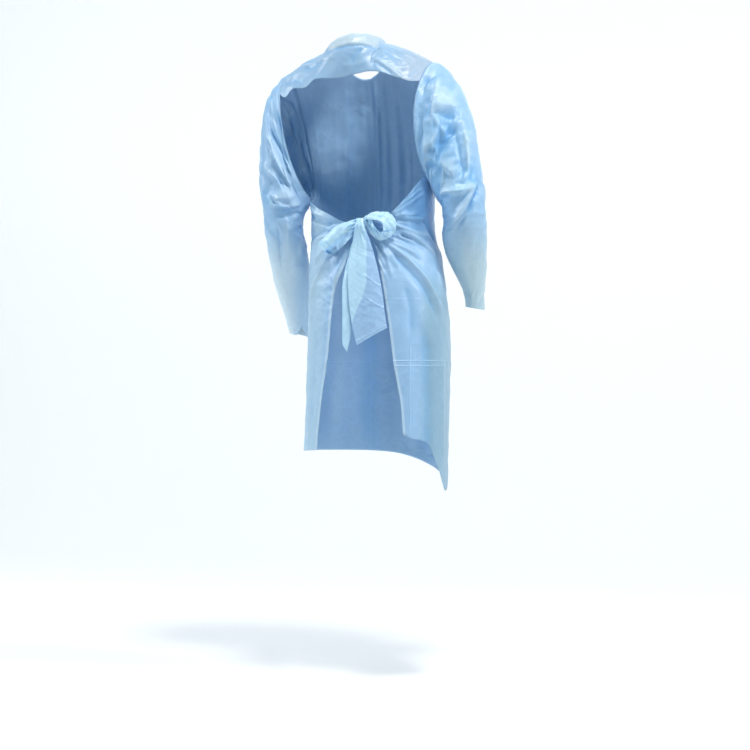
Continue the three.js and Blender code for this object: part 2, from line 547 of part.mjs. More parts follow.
function wrapPoint(side, share, v) {
  const sign = SIDES[side];
  const top = lookUp(WRAP_TOP[side], "share", "z", share);
  const sideHem = lookUp(HEM, "angle", "z", sign * SIDE_ANGLE);
  const edgeHem = BACK_EDGE[side][0].z;
  const hemAngle = THREE.MathUtils.lerp(BACK_EDGE[side][0].angle, sign * SIDE_ANGLE, share);
  const hem = share < 1 ? lookUp(HEM, "angle", "z", hemAngle) : sideHem;
  const z = hem + (top - hem) * closerAtTop(v);
  const edge = lookUp(BACK_EDGE[side], "z", "angle", Math.max(z, edgeHem));
  const rowsBelowTop = (1 - v) * BODY_ROWS;
  const pleats = Math.cos(Math.PI * rowsBelowTop) * smooth((WRAP_PLEAT_ROWS + 1 - rowsBelowTop) / 2);
  const reach = smooth((share - 0.12) / 0.15) * smooth((0.98 - share) / 0.3);
  const angle = THREE.MathUtils.lerp(edge, sign * SIDE_ANGLE, share);
  const point = foldedBody(angle, z, WRAP_PLEAT_RISE[side] * pleats * reach);
  const toKnot = new THREE.Vector2(point.x - KNOT.x, point.z - KNOT.z).length();
  point.y += KNOT_PULL.rise * bump(toKnot, KNOT_PULL.reach);
  return point.addScaledVector(seamPull(side, share), smooth(1 - (top - z) / SEAM_PULL_DEPTH));
}

// Where a wrap reaches the back of its sleeve, its upper edge is drawn onto the armhole.
function seamPull(side, share) {
  const seam = WRAP_SEAM[side];
  const weight = smooth((share - seam.start + 0.15) / 0.15);
  const around = 0.5 - (seam.around * Math.min(1 - share, 1 - seam.start)) / (1 - seam.start);
  const edge = lookUp(BACK_EDGE[side], "z", "angle", lookUp(WRAP_TOP[side], "share", "z", share));
  const angle = THREE.MathUtils.lerp(edge, SIDES[side] * SIDE_ANGLE, share);
  const free = foldedBody(angle, lookUp(WRAP_TOP[side], "share", "z", share));
  const corner = armholeEdge(side, 0.5).sub(foldedBody(SIDES[side] * SIDE_ANGLE, WRAP_TOP[side].at(-1).z));
  const pull = armholeEdge(side, around).sub(corner.multiplyScalar(share)).sub(free);
  return pull.multiplyScalar(weight * seam.amount);
}

// Share of the height with the rows drawn closer together towards the upper edge.
function closerAtTop(v) {
  const below = 1 - v;
  return 1 - (0.27 * below + 0.73 * below * below);
}

function foldedBody(angle, z, extra = 0) {
  const point = bodyPoint(angle, z);
  const outward = new THREE.Vector3(Math.sin(radians(angle)), -Math.cos(radians(angle)), 0);
  const place = new THREE.Vector2(angle * BODY_DEGREE, z);
  const rise = foldHeight(BODY_FOLDS, place, (a) => a * BODY_DEGREE, (height) => height);
  return point.addScaledVector(outward, rise + extra);
}

// ---------------------------------------------------------------- yoke
function yokeTop(u) {
  const leftEnd = 1 / 3;
  const rightEnd = 2 / 3;
  if (u <= leftEnd) return yokeShoulder("left", u / leftEnd);
  if (u >= rightEnd) return yokeShoulder("right", (1 - u) / (1 - rightEnd));
  const share = (u - leftEnd) / (rightEnd - leftEnd);
  return neckPoint(share < 0.5 ? 90 + 180 * share : -270 + 180 * share);
}

// The yoke's side of the shoulder seam, just behind the body panel's.
function yokeShoulder(side, share) {
  const point = shoulderPoint(side, share);
  point.y += SEAM_INSET;
  return point;
}

function yokeSide(side, v) {
  const point = armholeEdge(side, YOKE_CORNER_AROUND * (1 - v));
  point.y += SEAM_INSET * v;
  return point;
}

function yokeLower(u) {
  const left = yokeSide("left", 0);
  const right = yokeSide("right", 0);
  const rows = [{ x: left.x, y: left.y, z: left.z }, ...YOKE_EDGE, { x: right.x, y: right.y, z: right.z }];
  return pointAlong(rows, u, "x", "y", "z");
}

function yoke(u, v) {
  const bottom = yokeLower(u);
  const top = yokeTop(u);
  const point = bottom.multiplyScalar(1 - v).addScaledVector(top, v);
  point.addScaledVector(yokeSide("left", v), 1 - u).addScaledVector(yokeSide("right", v), u);
  point.addScaledVector(yokeLower(0), -(1 - u) * (1 - v)).addScaledVector(yokeLower(1), -u * (1 - v));
  point.addScaledVector(yokeTop(0), -(1 - u) * v).addScaledVector(yokeTop(1), -u * v);
  const swell = 4 * v * (1 - v) * Math.sin(Math.PI * u);
  point.y += 9 * swell;
  point.z += 12 * swell;
  return point;
}

// ---------------------------------------------------------------- sleeves
function sleeve(side) {
  return (u, v) => {
    const around = side === "left" ? u : (1 - u) % 1;
    const fromNotch = Math.abs(around - HAND_NOTCH.around) / HAND_NOTCH.halfWidth;
    const notch = side === "left" ? Math.max(0, 1 - fromNotch) : 0;
    const share = v * (1 - (notch * HAND_NOTCH.depth) / 640);
    return foldedSleeve(side, around, share);
  };
}

// ---------------------------------------------------------------- bow
function strip(name) {
  const rows = BOW_STRIPS[name];
  return (u, v) => {
    const edgeA = pointAlong(rows, v, "ax", "ay", "az");
    const edgeB = pointAlong(rows, v, "bx", "by", "bz");
    const point = edgeA.lerp(edgeB, u);
    point.y += along(rows, "swell", v) * 4 * u * (1 - u);
    return point;
  };
}

// The knot is the tie wrapped round itself: a short flattened ring of film, drawn in at its middle.
function knotRing(u, v) {
  const turn = u * 2 * Math.PI;
  const fromMiddle = 2 * v - 1;
  const size = 1 - KNOT.pinch * (1 - fromMiddle * fromMiddle);
  const lengthwise = (KNOT.length / 2) * fromMiddle;
  const upward = KNOT.halfHeight * size * Math.sin(turn);
  const tilt = radians(KNOT.tilt);
  return new THREE.Vector3(
    KNOT.x + lengthwise * Math.cos(tilt) - upward * Math.sin(tilt),
    KNOT.y + KNOT.halfDepth * size * Math.cos(turn),
    KNOT.z + lengthwise * Math.sin(tilt) + upward * Math.cos(tilt),
  );
}

// ---------------------------------------------------------------- assembly
const FILM_PIECES = [
  { name: "back_yoke", surface: yoke, columns: 24, rows: 5, colour: "#9bbfdc" },
  { name: "sleeve_left", surface: sleeve("left"), columns: AROUND_SLEEVE, rows: 26, isTube: true, colour: "#a8c8e2" },
  { name: "sleeve_right", surface: sleeve("right"), columns: AROUND_SLEEVE, rows: 26, isTube: true, colour: "#9cc0e0" },
  { name: "bow_loop_left", surface: strip("bow_loop_left"), columns: 3, rows: 18, colour: "#abd6f1" },
  { name: "bow_loop_right", surface: strip("bow_loop_right"), columns: 3, rows: 16, colour: "#c4e2f4" },
  { name: "tie_tail_left", surface: strip("tie_tail_left"), columns: 3, rows: 16, colour: "#c0e1f5" },
  { name: "tie_tail_right", surface: strip("tie_tail_right"), columns: 5, rows: 16, colour: "#aad4f2" },
  { name: "bow_knot", surface: knotRing, columns: 16, rows: 6, isTube: true, colour: "#b9e0f8" },
];

const gown = new THREE.Group();
gown.name = "isolation_gown";
function addPiece(name, sheets, colour) {
  const film = new THREE.MeshStandardMaterial({ color: colour, roughness: 0.42, metalness: 0 });
  const mesh = new THREE.Mesh(filmWall(sheets), film);
  mesh.name = name;
  gown.add(mesh);
}

const lowerSheet = filmSheet(lowerBody, BODY_COLUMNS, BODY_ROWS, false);
const upperSheet = filmSheet(upperFront, FRONT_COLUMNS, UPPER_ROWS, false);
addPiece("body_panel", [lowerSheet, upperSheet], "#9fc5e6");
for (const piece of FILM_PIECES) {
  addPiece(piece.name, [filmSheet(piece.surface, piece.columns, piece.rows, piece.isTube)], piece.colour);
}

export default gown;
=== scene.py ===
"""Open-back isolation gown of thin polyethylene film, in the hollow form that it takes when it is worn.

The sheets follow the same sections as the solids do, in millimetres: +X is the wearer's left, -Y the wearer's
front and +Z up. Every mesh is turned to metres when it is laid.
"""

import logging
import math
from dataclasses import dataclass, replace
from enum import Enum
from typing import Callable, Sequence

import bmesh
import bpy
import numpy as np
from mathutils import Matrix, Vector

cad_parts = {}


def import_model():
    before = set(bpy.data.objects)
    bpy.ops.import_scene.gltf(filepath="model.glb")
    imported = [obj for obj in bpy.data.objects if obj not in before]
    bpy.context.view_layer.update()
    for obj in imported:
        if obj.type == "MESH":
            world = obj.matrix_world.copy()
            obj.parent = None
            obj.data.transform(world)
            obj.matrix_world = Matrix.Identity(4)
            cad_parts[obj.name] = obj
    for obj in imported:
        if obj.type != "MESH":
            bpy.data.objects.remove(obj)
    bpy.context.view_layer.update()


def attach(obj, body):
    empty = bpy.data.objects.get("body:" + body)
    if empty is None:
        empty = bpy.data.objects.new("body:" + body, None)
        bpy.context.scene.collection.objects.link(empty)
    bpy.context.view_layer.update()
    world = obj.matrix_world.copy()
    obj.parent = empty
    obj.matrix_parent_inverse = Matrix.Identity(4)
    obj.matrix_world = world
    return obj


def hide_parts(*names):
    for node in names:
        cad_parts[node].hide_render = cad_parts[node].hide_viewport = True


LOG = logging.getLogger("isolation_gown")
MM = 0.001
FILM_WALL = 0.0004  # drawn thickness of the film, in metres
BODY_DEGREE = 2.4  # millimetres of film round the body for each degree
SLEEVE_GIRTH, SLEEVE_LENGTH = 400.0, 620.0
NOTCHED_LENGTH = 640.0  # film from the armhole to the notch of a cuff, in millimetres
YOKE_WIDTH, YOKE_HEIGHT = 380.0, 125.0
# painted shade for the troughs of folds and painted highlight for their ridges, as sRGB hex
PAINTED_TROUGH_SHADE, PAINTED_RIDGE_HIGHLIGHT = "#569fe0", "#d6e8f5"
NO_LINE = 50.0  # distance to a fine line that a sheet does not have, in millimetres
Array = np.ndarray
Surface = Callable[[Array, Array], Array]


class Side(Enum):
    """The wearer's two sides, with the sign of their X."""

    LEFT = 1
    RIGHT = -1


# ---------------------------------------------------------------- curves through tables
def hermite(start: Array, end: Array, slope_start: Array, slope_end: Array, t: Array) -> Array:
    """Cubic curve between two values with given slopes.

    Args:
        start: value at t = 0.
        end: value at t = 1.
        slope_start: slope at t = 0.
        slope_end: slope at t = 1.
        t: place between the two, from 0 to 1.

    Returns:
        The values at t.
    """
    t2, t3 = t * t, t * t * t
    by_values = (2 * t3 - 3 * t2 + 1) * start + (3 * t2 - 2 * t3) * end
    return by_values + (t3 - 2 * t2 + t) * slope_start + (t3 - t2) * slope_end


def neighbours(last: int) -> tuple[Array, Array]:
    """Numbers of the rows before and after each row, up to the last one."""
    rows = np.arange(last + 1)
    return np.clip(rows - 1, 0, last), np.clip(rows + 1, 0, last)


def look_up(keys: Sequence[float], values: Sequence[float], at: Array) -> Array:
    """Value of a column at a key, on a smooth curve through the rows.

    Args:
        keys: the rows' keys, rising or falling.
        values: the column.
        at: keys that are asked for.

    Returns:
        The column's values there.
    """
    k, v = np.asarray(keys, float), np.asarray(values, float)
    if k[-1] < k[0]:
        k, v = k[::-1], v[::-1]
    wanted = np.clip(at, k[0], k[-1])
    last = len(k) - 1
    i = np.clip(np.searchsorted(k, wanted, side="right") - 1, 0, last - 1)
    before, after = neighbours(last)
    slope = (v[after] - v[before]) / (k[after] - k[before])
    span = k[i + 1] - k[i]
    return hermite(v[i], v[i + 1], slope[i] * span, slope[i + 1] * span, (wanted - k[i]) / span)


def look_up_pairs(rows: Sequence[tuple[float, float]], at: Array) -> Array:
    """Value at a key, on a smooth curve through rows of a key and a value."""
    return look_up(*zip(*rows), at)


def along(values: Sequence[float], share: Array) -> Array:
    """A column of evenly spaced rows, at a share of the way along it.

    Args:
        values: the column.
        share: places from 0 to 1.

    Returns:
        The column's values there.
    """
    v = np.asarray(values, float)
    last = len(v) - 1
    place = np.clip(share, 0, 1) * last
    i = np.minimum(np.floor(place).astype(int), last - 1)
    before, after = neighbours(last)
    slope = (v[after] - v[before]) / 2
    return hermite(v[i], v[i + 1], slope[i], slope[i + 1], place - i)


def points_along(rows: Sequence[Sequence[float]], share: Array) -> Array:
    """Values of several columns of evenly spaced rows, such as the coordinates of points."""
    return np.stack([along(column, share) for column in zip(*rows)], -1)


def smooth(t: Array) -> Array:
    """Smooth step from 0 to 1."""
    t = np.clip(t, 0, 1)
    return t * t * (3 - 2 * t)


def ramp(value: Array, start: float, width: float) -> Array:
    """Smooth step from 0 at a start to 1 a width further on."""
    return smooth((value - start) / width)


def fade_ends(share: Array, reach: float) -> Array:
    """1 over the middle of a range from 0 to 1, falling to 0 at both of its ends."""
    return smooth(share / reach) * smooth((1 - share) / reach)


def bump(distance: Array, half: float) -> Array:
    """Soft hump of a half width."""
    return np.exp(-((distance / half) ** 2))


def mix(a: Array, b: Array, t: Array) -> Array:
    """Straight mixture of two values."""
    return a + (b - a) * t


def stack(x: Array, y: Array, z: Array) -> Array:
    """Points from their coordinates."""
    return np.stack(np.broadcast_arrays(x, y, z), -1).astype(float)


def shaded(colour: Array, rise: Array, amount: float = 0.4) -> Array:
    """sRGB colours with painted shade in the troughs of the folds and painted highlights on their ridges."""
    colour = mix(colour, hex_colour(PAINTED_TROUGH_SHADE), (amount * smooth(-rise / 8))[:, None])
    return mix(colour, hex_colour(PAINTED_RIDGE_HIGHLIGHT), (amount * ramp(rise, 1, 9))[:, None])


# ---------------------------------------------------------------- folds
@dataclass(frozen=True)
class Fold:
    """One crease or soft fold over a sheet.

    Attributes:
        path: places that it runs through, in the sheet's own table values.
        rise: height of its ridge, or depth of its trough when negative, in millimetres.
        half: half width on the path's left hand, when the first value is drawn to the right and the second upwards.
        other: half width on its right hand, where it differs.
        crisp: exponent of its profile: 2 is a soft wave, 1.2 a crisp crease.
        ends: shares of its length over which it rises and dies away.
    """

    path: tuple[tuple[float, float], ...]
    rise: float
    half: float
    other: float = 0.0
    crisp: float = 1.7
    ends: tuple[float, float] = (0.15, 0.35)


class FoldedSheet:
    """Adds up folds over places that are given in millimetres of film."""

    STEPS = 9

    def __init__(self, folds: Sequence[Fold], across: float, down: float, wraps: bool = False) -> None:
        """Keeps the folds.

        Args:
            folds: the folds.
            across: millimetres of film for one unit of a path's first value.
            down: millimetres of film for one unit of its second value.
            wraps: whether the first value is a share round a tube.
        """
        self.folds = list(folds)
        self.scale = np.array([across, down])
        self.wraps = wraps

    def height(self, a: Array, b: Array) -> Array:
        """Height of all the folds.

        Args:
            a: first table values of the places.
            b: second table values of the places.

        Returns:
            Heights in millimetres.
        """
        total = np.zeros(len(a))
        for fold in self.folds:
            path = self._course(fold)
            reach = 2.6 * max(fold.half, fold.other)
            place = np.stack([a, b], -1)
            if self.wraps:
                middle = path[:, 0].mean()
                place[:, 0] = middle + (place[:, 0] - middle + 0.5) % 1.0 - 0.5
            place = place * self.scale
            path = path * self.scale
            near = np.all((place > path.min(0) - reach) & (place < path.max(0) + reach), axis=1)
            if near.any():
                total[near] += self._one(fold, path, place[near])
        return total

    def _course(self, fold: Fold) -> Array:
        """Points on the fold's smooth course, in table values.

        Args:
            fold: the fold.

        Returns:
            The points.
        """
        path = np.array(fold.path, float)
        if len(path) == 2:
            return path
        shares = np.linspace(0, 1, self.STEPS if len(path) < 5 else 2 * self.STEPS)
        return np.stack([along(path[:, 0], shares), along(path[:, 1], shares)], -1)

    @staticmethod
    def _one(fold: Fold, path: Array, place: Array) -> Array:
        """Height of one fold at places near it.

        Args:
            fold: the fold.
            path: points on its course, in millimetres.
            place: places near it, in millimetres.

        Returns:
            Its heights there, in millimetres.
        """
        nearest = np.full(len(place), np.inf)
        share = np.zeros(len(place))
        hand = np.zeros(len(place))
        steps = np.diff(path, axis=0)
        lengths = np.linalg.norm(steps, axis=1)
        starts = np.concatenate([[0.0], np.cumsum(lengths)])
        for i, step in enumerate(steps):
            offset = place - path[i]
            part = np.clip(offset @ step / max(lengths[i] ** 2, 1e-9), 0, 1)
            gap = offset - part[:, None] * step
            distance = np.hypot(gap[:, 0], gap[:, 1])
            closer = distance < nearest
            nearest[closer] = distance[closer]
            share[closer] = ((starts[i] + part * lengths[i]) / starts[-1])[closer]
            hand[closer] = (step[0] * gap[:, 1] - step[1] * gap[:, 0])[closer]
        rising, falling = fold.ends
        taper = smooth(share / max(rising, 1e-6)) * smooth((1 - share) / max(falling, 1e-6))
        half = np.where(hand >= 0, fold.half, fold.other or fold.half)
        return fold.rise * taper * np.exp(-((nearest / half) ** fold.crisp))

    def scatter(
        self, seed: int, count: int, a: tuple[float, float], b: tuple[float, float], length: tuple[float, float],
        rise: float, half: float, lean: float = 0.0, spread: float = math.pi,
    ) -> None:
        """Adds short straight creases that handling leaves all over a film, always the same for the same seed.

        Args:
            seed: seed of the random numbers.
            count: number of creases.
            a: range of the first table value.
            b: range of the second table value.
            length: shortest and longest crease, in millimetres.
            rise: greatest height or depth, in millimetres.
            half: half width, in millimetres.
            lean: usual direction, in radians from the first value's axis.
            spread: how far directions depart from it.
        """
        rng = np.random.default_rng(seed)
        for _ in range(count):
            start = np.array([rng.uniform(*a), rng.uniform(*b)])
            turn = lean + rng.uniform(-spread, spread) / 2
            end = start + rng.uniform(*length) * np.array([math.cos(turn), math.sin(turn)]) / self.scale
            height = rise * rng.uniform(0.35, 1.0) * rng.choice([-1.0, 1.0])
            width = half * rng.uniform(0.7, 1.5)
            other = width * rng.uniform(0.8, 2.2)
            self.folds.append(Fold((tuple(start), tuple(end)), height, width, other, 1.35, (0.3, 0.4)))

    def fan(
        self, seed: int, count: int, hub: tuple[float, float], directions: tuple[float, float],
        start: tuple[float, float], reach: tuple[float, float], rise: float, half: float,
    ) -> None:
        """Adds creases that spread out from a gathered point, alternately up and down.

        Args:
            seed: seed of the random numbers.
            count: number of creases.
            hub: gathered point, in table values.
            directions: first and last direction, in radians.
            start: nearest and farthest start from the hub, in millimetres.
            reach: shortest and longest crease, in millimetres.
            rise: usual height, in millimetres.
            half: usual half width, in millimetres.
        """
        rng = np.random.default_rng(seed)
        for i in range(count):
            turn = mix(*directions, (i + rng.uniform(0.1, 0.9)) / count)
            from_hub, length = rng.uniform(*start), rng.uniform(*reach)
            shares = np.array([0.0, 0.5, 1.0])
            turns = turn + rng.uniform(-0.12, 0.12) * shares
            course = (from_hub + length * shares)[:, None] * np.stack([np.cos(turns), np.sin(turns)], -1)
            path = tuple(map(tuple, hub + course / self.scale))
            height = rise * rng.uniform(0.6, 1.3) * (1 if i % 2 else -0.8)
            width = half * rng.uniform(0.7, 1.3)
            self.folds.append(Fold(path, height, width, width * rng.uniform(0.9, 1.8), 1.4, (0.12, 0.5)))


@dataclass(frozen=True)
class Crumple:
    """Facets that packing and wearing leave all over a thin film: sharp-crested waves in many directions.

    Attributes:
        seed: seed of the random numbers.
        rise: height of the longest wave, in millimetres.
        longest: longest wave, in millimetres.
        shortest: shortest wave, in millimetres.
        waves: number of waves.
    """

    seed: int
    rise: float
    longest: float = 62.0
    shortest: float = 15.0
    waves: int = 10

    def height(self, points: Array) -> Array:
        """Heights at points of the plain form, both in millimetres.

        Args:
            points: points of the plain form, in millimetres.

        Returns:
            The heights, in millimetres.
        """
        rng = np.random.default_rng(self.seed)
        bent = points + 13 * np.sin(points[:, [1, 2, 0]] / 29 + rng.uniform(0, 6.3, 3))
        bent += 5 * np.sin(points[:, [2, 0, 1]] / 11 + rng.uniform(0, 6.3, 3))
        total = np.zeros(len(points))
        for i in range(self.waves):
            length = self.longest * (self.shortest / self.longest) ** (i / (self.waves - 1))
            course, patch = rng.normal(size=(2, 3))
            course /= np.linalg.norm(course)
            place = bent @ course / length + rng.uniform(0, 1)
            crest = 4 * np.abs(place % 1.0 - 0.5) - 1
            strength = np.clip(0.5 + 0.9 * np.sin(bent @ patch / 45 + rng.uniform(0, 6.3)), 0, 1)
            total += self.rise * (length / self.longest) * strength * crest
        return total


# ---------------------------------------------------------------- laying a sheet
def to_object(name: str, mesh: bmesh.types.BMesh, material: bpy.types.Material) -> bpy.types.Object:
    """Turns a mesh into an object of the scene.

    Args:
        name: name of the object and of its data.
        mesh: the mesh, which is freed.
        material: its material.

    Returns:
        The object.
    """
    data = bpy.data.meshes.new(name)
    mesh.to_mesh(data)
    mesh.free()
    made = bpy.data.objects.new(name, data)
    bpy.context.scene.collection.objects.link(made)
    data.materials.append(material)
    return made


class SheetMaker:
    """Collects gridded surfaces into one mesh, and gives it its film values."""

    def __init__(self, name: str) -> None:
        """Starts an empty mesh.

        Args:
            name: name of the finished piece.
        """
        self.name = name
        self.mesh = bmesh.new()
        self.places: list[Array] = []
        self.shares: list[Array] = []

    def lay(self, surface: Surface, columns: int, rows: int) -> None:
        """Lays one grid over a surface.

        Args:
            surface: gives points in millimetres from two shares.
            columns: facets along the first share.
            rows: facets along the second share.
        """
        made = bmesh.ops.create_grid(self.mesh, x_segments=columns, y_segments=rows, size=0.5)["verts"]
        flat = np.array([tuple(vert.co) for vert in made])[:, :2] + 0.5
        u = np.round(flat[:, 0] * columns) / columns
        v = np.round(flat[:, 1] * rows) / rows
        points = surface(u, v)
        for vert, point in zip(made, points * MM):
            vert.co = point
        self.places.append(points)
        self.shares.append(np.stack([u, v], -1))

    def finish(
        self, film: "PlasticFilm", tint: Callable[[Array, Array], Array] | None = None,
        lines: Callable[[Array, Array], Array] | None = None, inside_out: bool = False,
        merge: float = 2e-5,
    ) -> bpy.types.Object:
        """Turns the grids into one piece.

        Args:
            film: finish of the piece.
            tint: gives sRGB colours from the points and their shares.
            lines: gives three distances, in millimetres, to fine lines in the film, and their strength.
            inside_out: whether the grid was laid with its face towards the inside.
            merge: distance under which points are joined, in metres.

        Returns:
            The piece.
        """
        points = np.concatenate(self.places)
        shares = np.concatenate(self.shares)
        tints = np.ones((len(points), 4))
        tints[:, :3] = to_linear(tint(points, shares) if tint else film.colour)
        marks = lines(points, shares) if lines else np.tile((NO_LINE, NO_LINE, NO_LINE, 0.0), (len(points), 1))
        tint_layer = self.mesh.verts.layers.float_color.new("tint")
        line_layer = self.mesh.verts.layers.float_color.new("lines")
        uv_layer = self.mesh.loops.layers.uv.new("film")
        self.mesh.verts.ensure_lookup_table()
        for vert, colour, mark in zip(self.mesh.verts, tints, marks):
            vert[tint_layer] = colour
            vert[line_layer] = mark
        self.mesh.verts.index_update()
        for face in self.mesh.faces:
            face.smooth = True
            for loop in face.loops:
                loop[uv_layer].uv = shares[loop.vert.index]
        bmesh.ops.remove_doubles(self.mesh, verts=self.mesh.verts, dist=merge)
        if inside_out:
            bmesh.ops.reverse_faces(self.mesh, faces=self.mesh.faces)
        piece = to_object(self.name, self.mesh, film.material())
        thickness = piece.modifiers.new("film thickness", "SOLIDIFY")
        thickness.thickness = FILM_WALL
        thickness.offset = 0
        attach(piece, "root")
        faces = piece.data.polygons
        LOG.info("%s: %d faces, %.4f square metres", self.name, len(faces), sum(face.area for face in faces))
        return piece


# ---------------------------------------------------------------- finishes
def to_linear(colours: Array) -> Array:
    """Turns sRGB values from 0 to 1 into linear ones."""
    c = np.asarray(colours, float)
    return np.where(c <= 0.04045, c / 12.92, ((c + 0.055) / 1.055) ** 2.4)


def hex_colour(code: str) -> Array:
    """sRGB values from 0 to 1 of a hex code."""
    return np.array([int(code[i : i + 2], 16) / 255 for i in (1, 3, 5)])


def add_node(
    tree: bpy.types.NodeTree, kind: str, inputs: dict | None = None, out: str | int = 0, **settings: str
) -> bpy.types.NodeSocket | None:
    """Adds a shader node with its values, links and settings.

    Args:
        tree: node tree that it goes into.
        kind: Blender's name of the node's type, without the "ShaderNode" before it.
        inputs: values or output sockets by input name or number.
        out: name or number of the output that is wanted.
        settings: attributes of the node.

    Returns:
        The output, or None for a node that has none.
    """
    node = tree.nodes.new("ShaderNode" + kind)
    for name, value in settings.items():
        setattr(node, name, value)
    for name, value in (inputs or {}).items():
        socket = node.inputs[name]
        if isinstance(value, bpy.types.NodeSocket):
            tree.links.new(value, socket)
        else:
            socket.default_value = value
    return node.outputs[out] if node.outputs else None


def reckon(tree: bpy.types.NodeTree, operation: str, *values: bpy.types.NodeSocket | float) -> bpy.types.NodeSocket:
    """Result of a math node over values or sockets."""
    return add_node(tree, "Math", dict(enumerate(values)), operation=operation)


def empty_material(name: str) -> bpy.types.Material:
    """A node material that has no nodes yet.

    Args:
        name: name of the material.

    Returns:
        The material.
    """
    material = bpy.data.materials.new(name)
    material.use_nodes = True
    material.node_tree.nodes.clear()
    return material


@dataclass(frozen=True)
class PlasticFilm:
    """Blown polyethylene film, embossed and folded when packed.

    It is thin and a little cloudy, so light spreads inside it, and its surface has a soft satin gloss.

    Attributes:
        name: name of the material.
        slot: the record's material slot; not used.
        code: sRGB hex colour.
        roughness: roughness of the smooth film.
        crumple: height of the handling crumples, in metres.
        facet: how far the crumpled facets lean.
        glow: share of the light that spreads inside the film.
    """

    name: str
    slot: str
    code: str
    roughness: float = 0.4
    crumple: float = 0.0010
    facet: float = 0.12
    glow: float = 0.1

    @property
    def colour(self) -> Array:
        """sRGB colour of the plain film."""
        return hex_colour(self.code)

    def material(self) -> bpy.types.Material:
        """The film's material, made once.

        Returns:
            The material.
        """
        if self.name in bpy.data.materials:
            return bpy.data.materials[self.name]
        material = empty_material(self.name)
        tree = material.node_tree
        place = add_node(tree, "TexCoord", out="Object")
        tint = add_node(tree, "Attribute", out="Color", attribute_name="tint")
        # cloudy thickness of blown film: patches about 60 mm across
        clouds = add_node(tree, "TexNoise", {"Vector": place, "Scale": 16.0, "Detail": 3.0}, "Fac")
        # crumpled facets about 22 mm and 8 mm across, bent by a slower noise; each leans its own way
        bend = add_node(tree, "TexNoise", {"Vector": place, "Scale": 9.0, "Detail": 2.0}, "Color")
        bent = add_node(tree, "Mix", {0: 0.018, 6: place, 7: bend}, 2, data_type="RGBA", blend_type="LINEAR_LIGHT")
        # crumples come in patches about 90 mm across, and the film between them is smoother
        patches = add_node(tree, "TexNoise", {"Vector": place, "Scale": 11.0, "Detail": 1.0}, "Fac")
        patch = add_node(
            tree, "MapRange", {"Value": patches, "From Min": 0.36, "From Max": 0.62, "To Min": 0.3, "To Max": 1.0},
            "Result", interpolation_type="SMOOTHSTEP",
        )
        normal = add_node(tree, "NewGeometry", out="Normal")
        for per_metre, lean in ((45.0, self.facet), (125.0, 0.75 * self.facet)):
            normal = self._leaning(tree, normal, bent, per_metre, reckon(tree, "MULTIPLY", patch, lean))
        normal = add_node(tree, "VectorMath", {0: normal}, "Vector", operation="NORMALIZE")
        edges = add_node(tree, "TexVoronoi", {"Vector": bent, "Scale": 45.0}, "Distance", feature="DISTANCE_TO_EDGE")
        crest = add_node(
            tree, "MapRange", {"Value": edges, "From Min": 0.0, "From Max": 0.16, "To Min": 1.0, "To Max": 0.0},
            "Result", interpolation_type="SMOOTHSTEP",
        )
        soft = add_node(tree, "TexNoise", {"Vector": bent, "Scale": 60.0, "Detail": 4.0, "Roughness": 0.6}, "Fac")
        relief = reckon(tree, "MULTIPLY", reckon(tree, "MULTIPLY_ADD", crest, 0.22, soft), patch)
        lines = self._line_relief(tree)
        bumped = add_node(
            tree, "Bump", {"Height": relief, "Distance": self.crumple, "Strength": 0.8, "Normal": normal}, "Normal"
        )
        creased = add_node(
            tree, "Bump", {"Height": lines, "Distance": 0.0009, "Strength": 1.0, "Normal": bumped}, "Normal"
        )
        # stretched crests and pressed lines whiten a little, thicker clouds are a little deeper in colour
        lifted = reckon(tree, "MULTIPLY_ADD", reckon(tree, "MULTIPLY", crest, patch), 0.05, 0.965)
        tone = reckon(tree, "MULTIPLY_ADD", clouds, 0.07, reckon(tree, "MULTIPLY_ADD", lines, 0.14, lifted))
        colour = add_node(tree, "Mix", {0: 1.0, 6: tint, 7: tone}, 2, data_type="RGBA", blend_type="MULTIPLY")
        satin = {"Value": clouds, "To Min": self.roughness - 0.05, "To Max": self.roughness + 0.08}
        shader = add_node(tree, "BsdfPrincipled", {
            "Base Color": colour, "Roughness": add_node(tree, "MapRange", satin, "Result"), "Normal": creased,
            "IOR": 1.51, "Specular IOR Level": 0.6,
            "Subsurface Weight": self.glow, "Subsurface Radius": (1.0, 1.0, 1.0), "Subsurface Scale": 0.0008,
        })
        add_node(tree, "OutputMaterial", {"Surface": shader})
        return material

    @staticmethod
    def _leaning(
        tree: bpy.types.NodeTree, normal: bpy.types.NodeSocket, place: bpy.types.NodeSocket, per_metre: float,
        lean: bpy.types.NodeSocket,
    ) -> bpy.types.NodeSocket:
        """Leans a normal over crumpled facets, each its own way.

        Args:
            tree: node tree of the material.
            normal: the normal before.
            place: place on the film.
            per_metre: facets in each metre.
            lean: how far they lean.

        Returns:
            The leaning normal.
        """
        voronoi = {"Vector": place, "Scale": per_metre, "Smoothness": 0.25}
        cell = add_node(tree, "TexVoronoi", voronoi, "Color", feature="SMOOTH_F1")
        way = add_node(tree, "VectorMath", {0: cell, 1: (0.5, 0.5, 0.5)}, "Vector", operation="SUBTRACT")
        tilt = add_node(tree, "VectorMath", {0: way, "Scale": lean}, "Vector", operation="SCALE")
        return add_node(tree, "VectorMath", {0: normal, 1: tilt}, "Vector", operation="ADD")

    @staticmethod
    def _line_relief(tree: bpy.types.NodeTree) -> bpy.types.NodeSocket:
        """Height of the packing creases and seams, from the distances that each point carries.

        Args:
            tree: node tree of the material.

        Returns:
            The height, 1 on a line and 0 away from it.
        """
        marks = add_node(tree, "Attribute", out="Color", attribute_name="lines")
        parts = add_node(tree, "SeparateColor", {"Color": marks}).node.outputs
        total: bpy.types.NodeSocket | float = 0.0
        for distance in (parts["Red"], parts["Green"], parts["Blue"]):
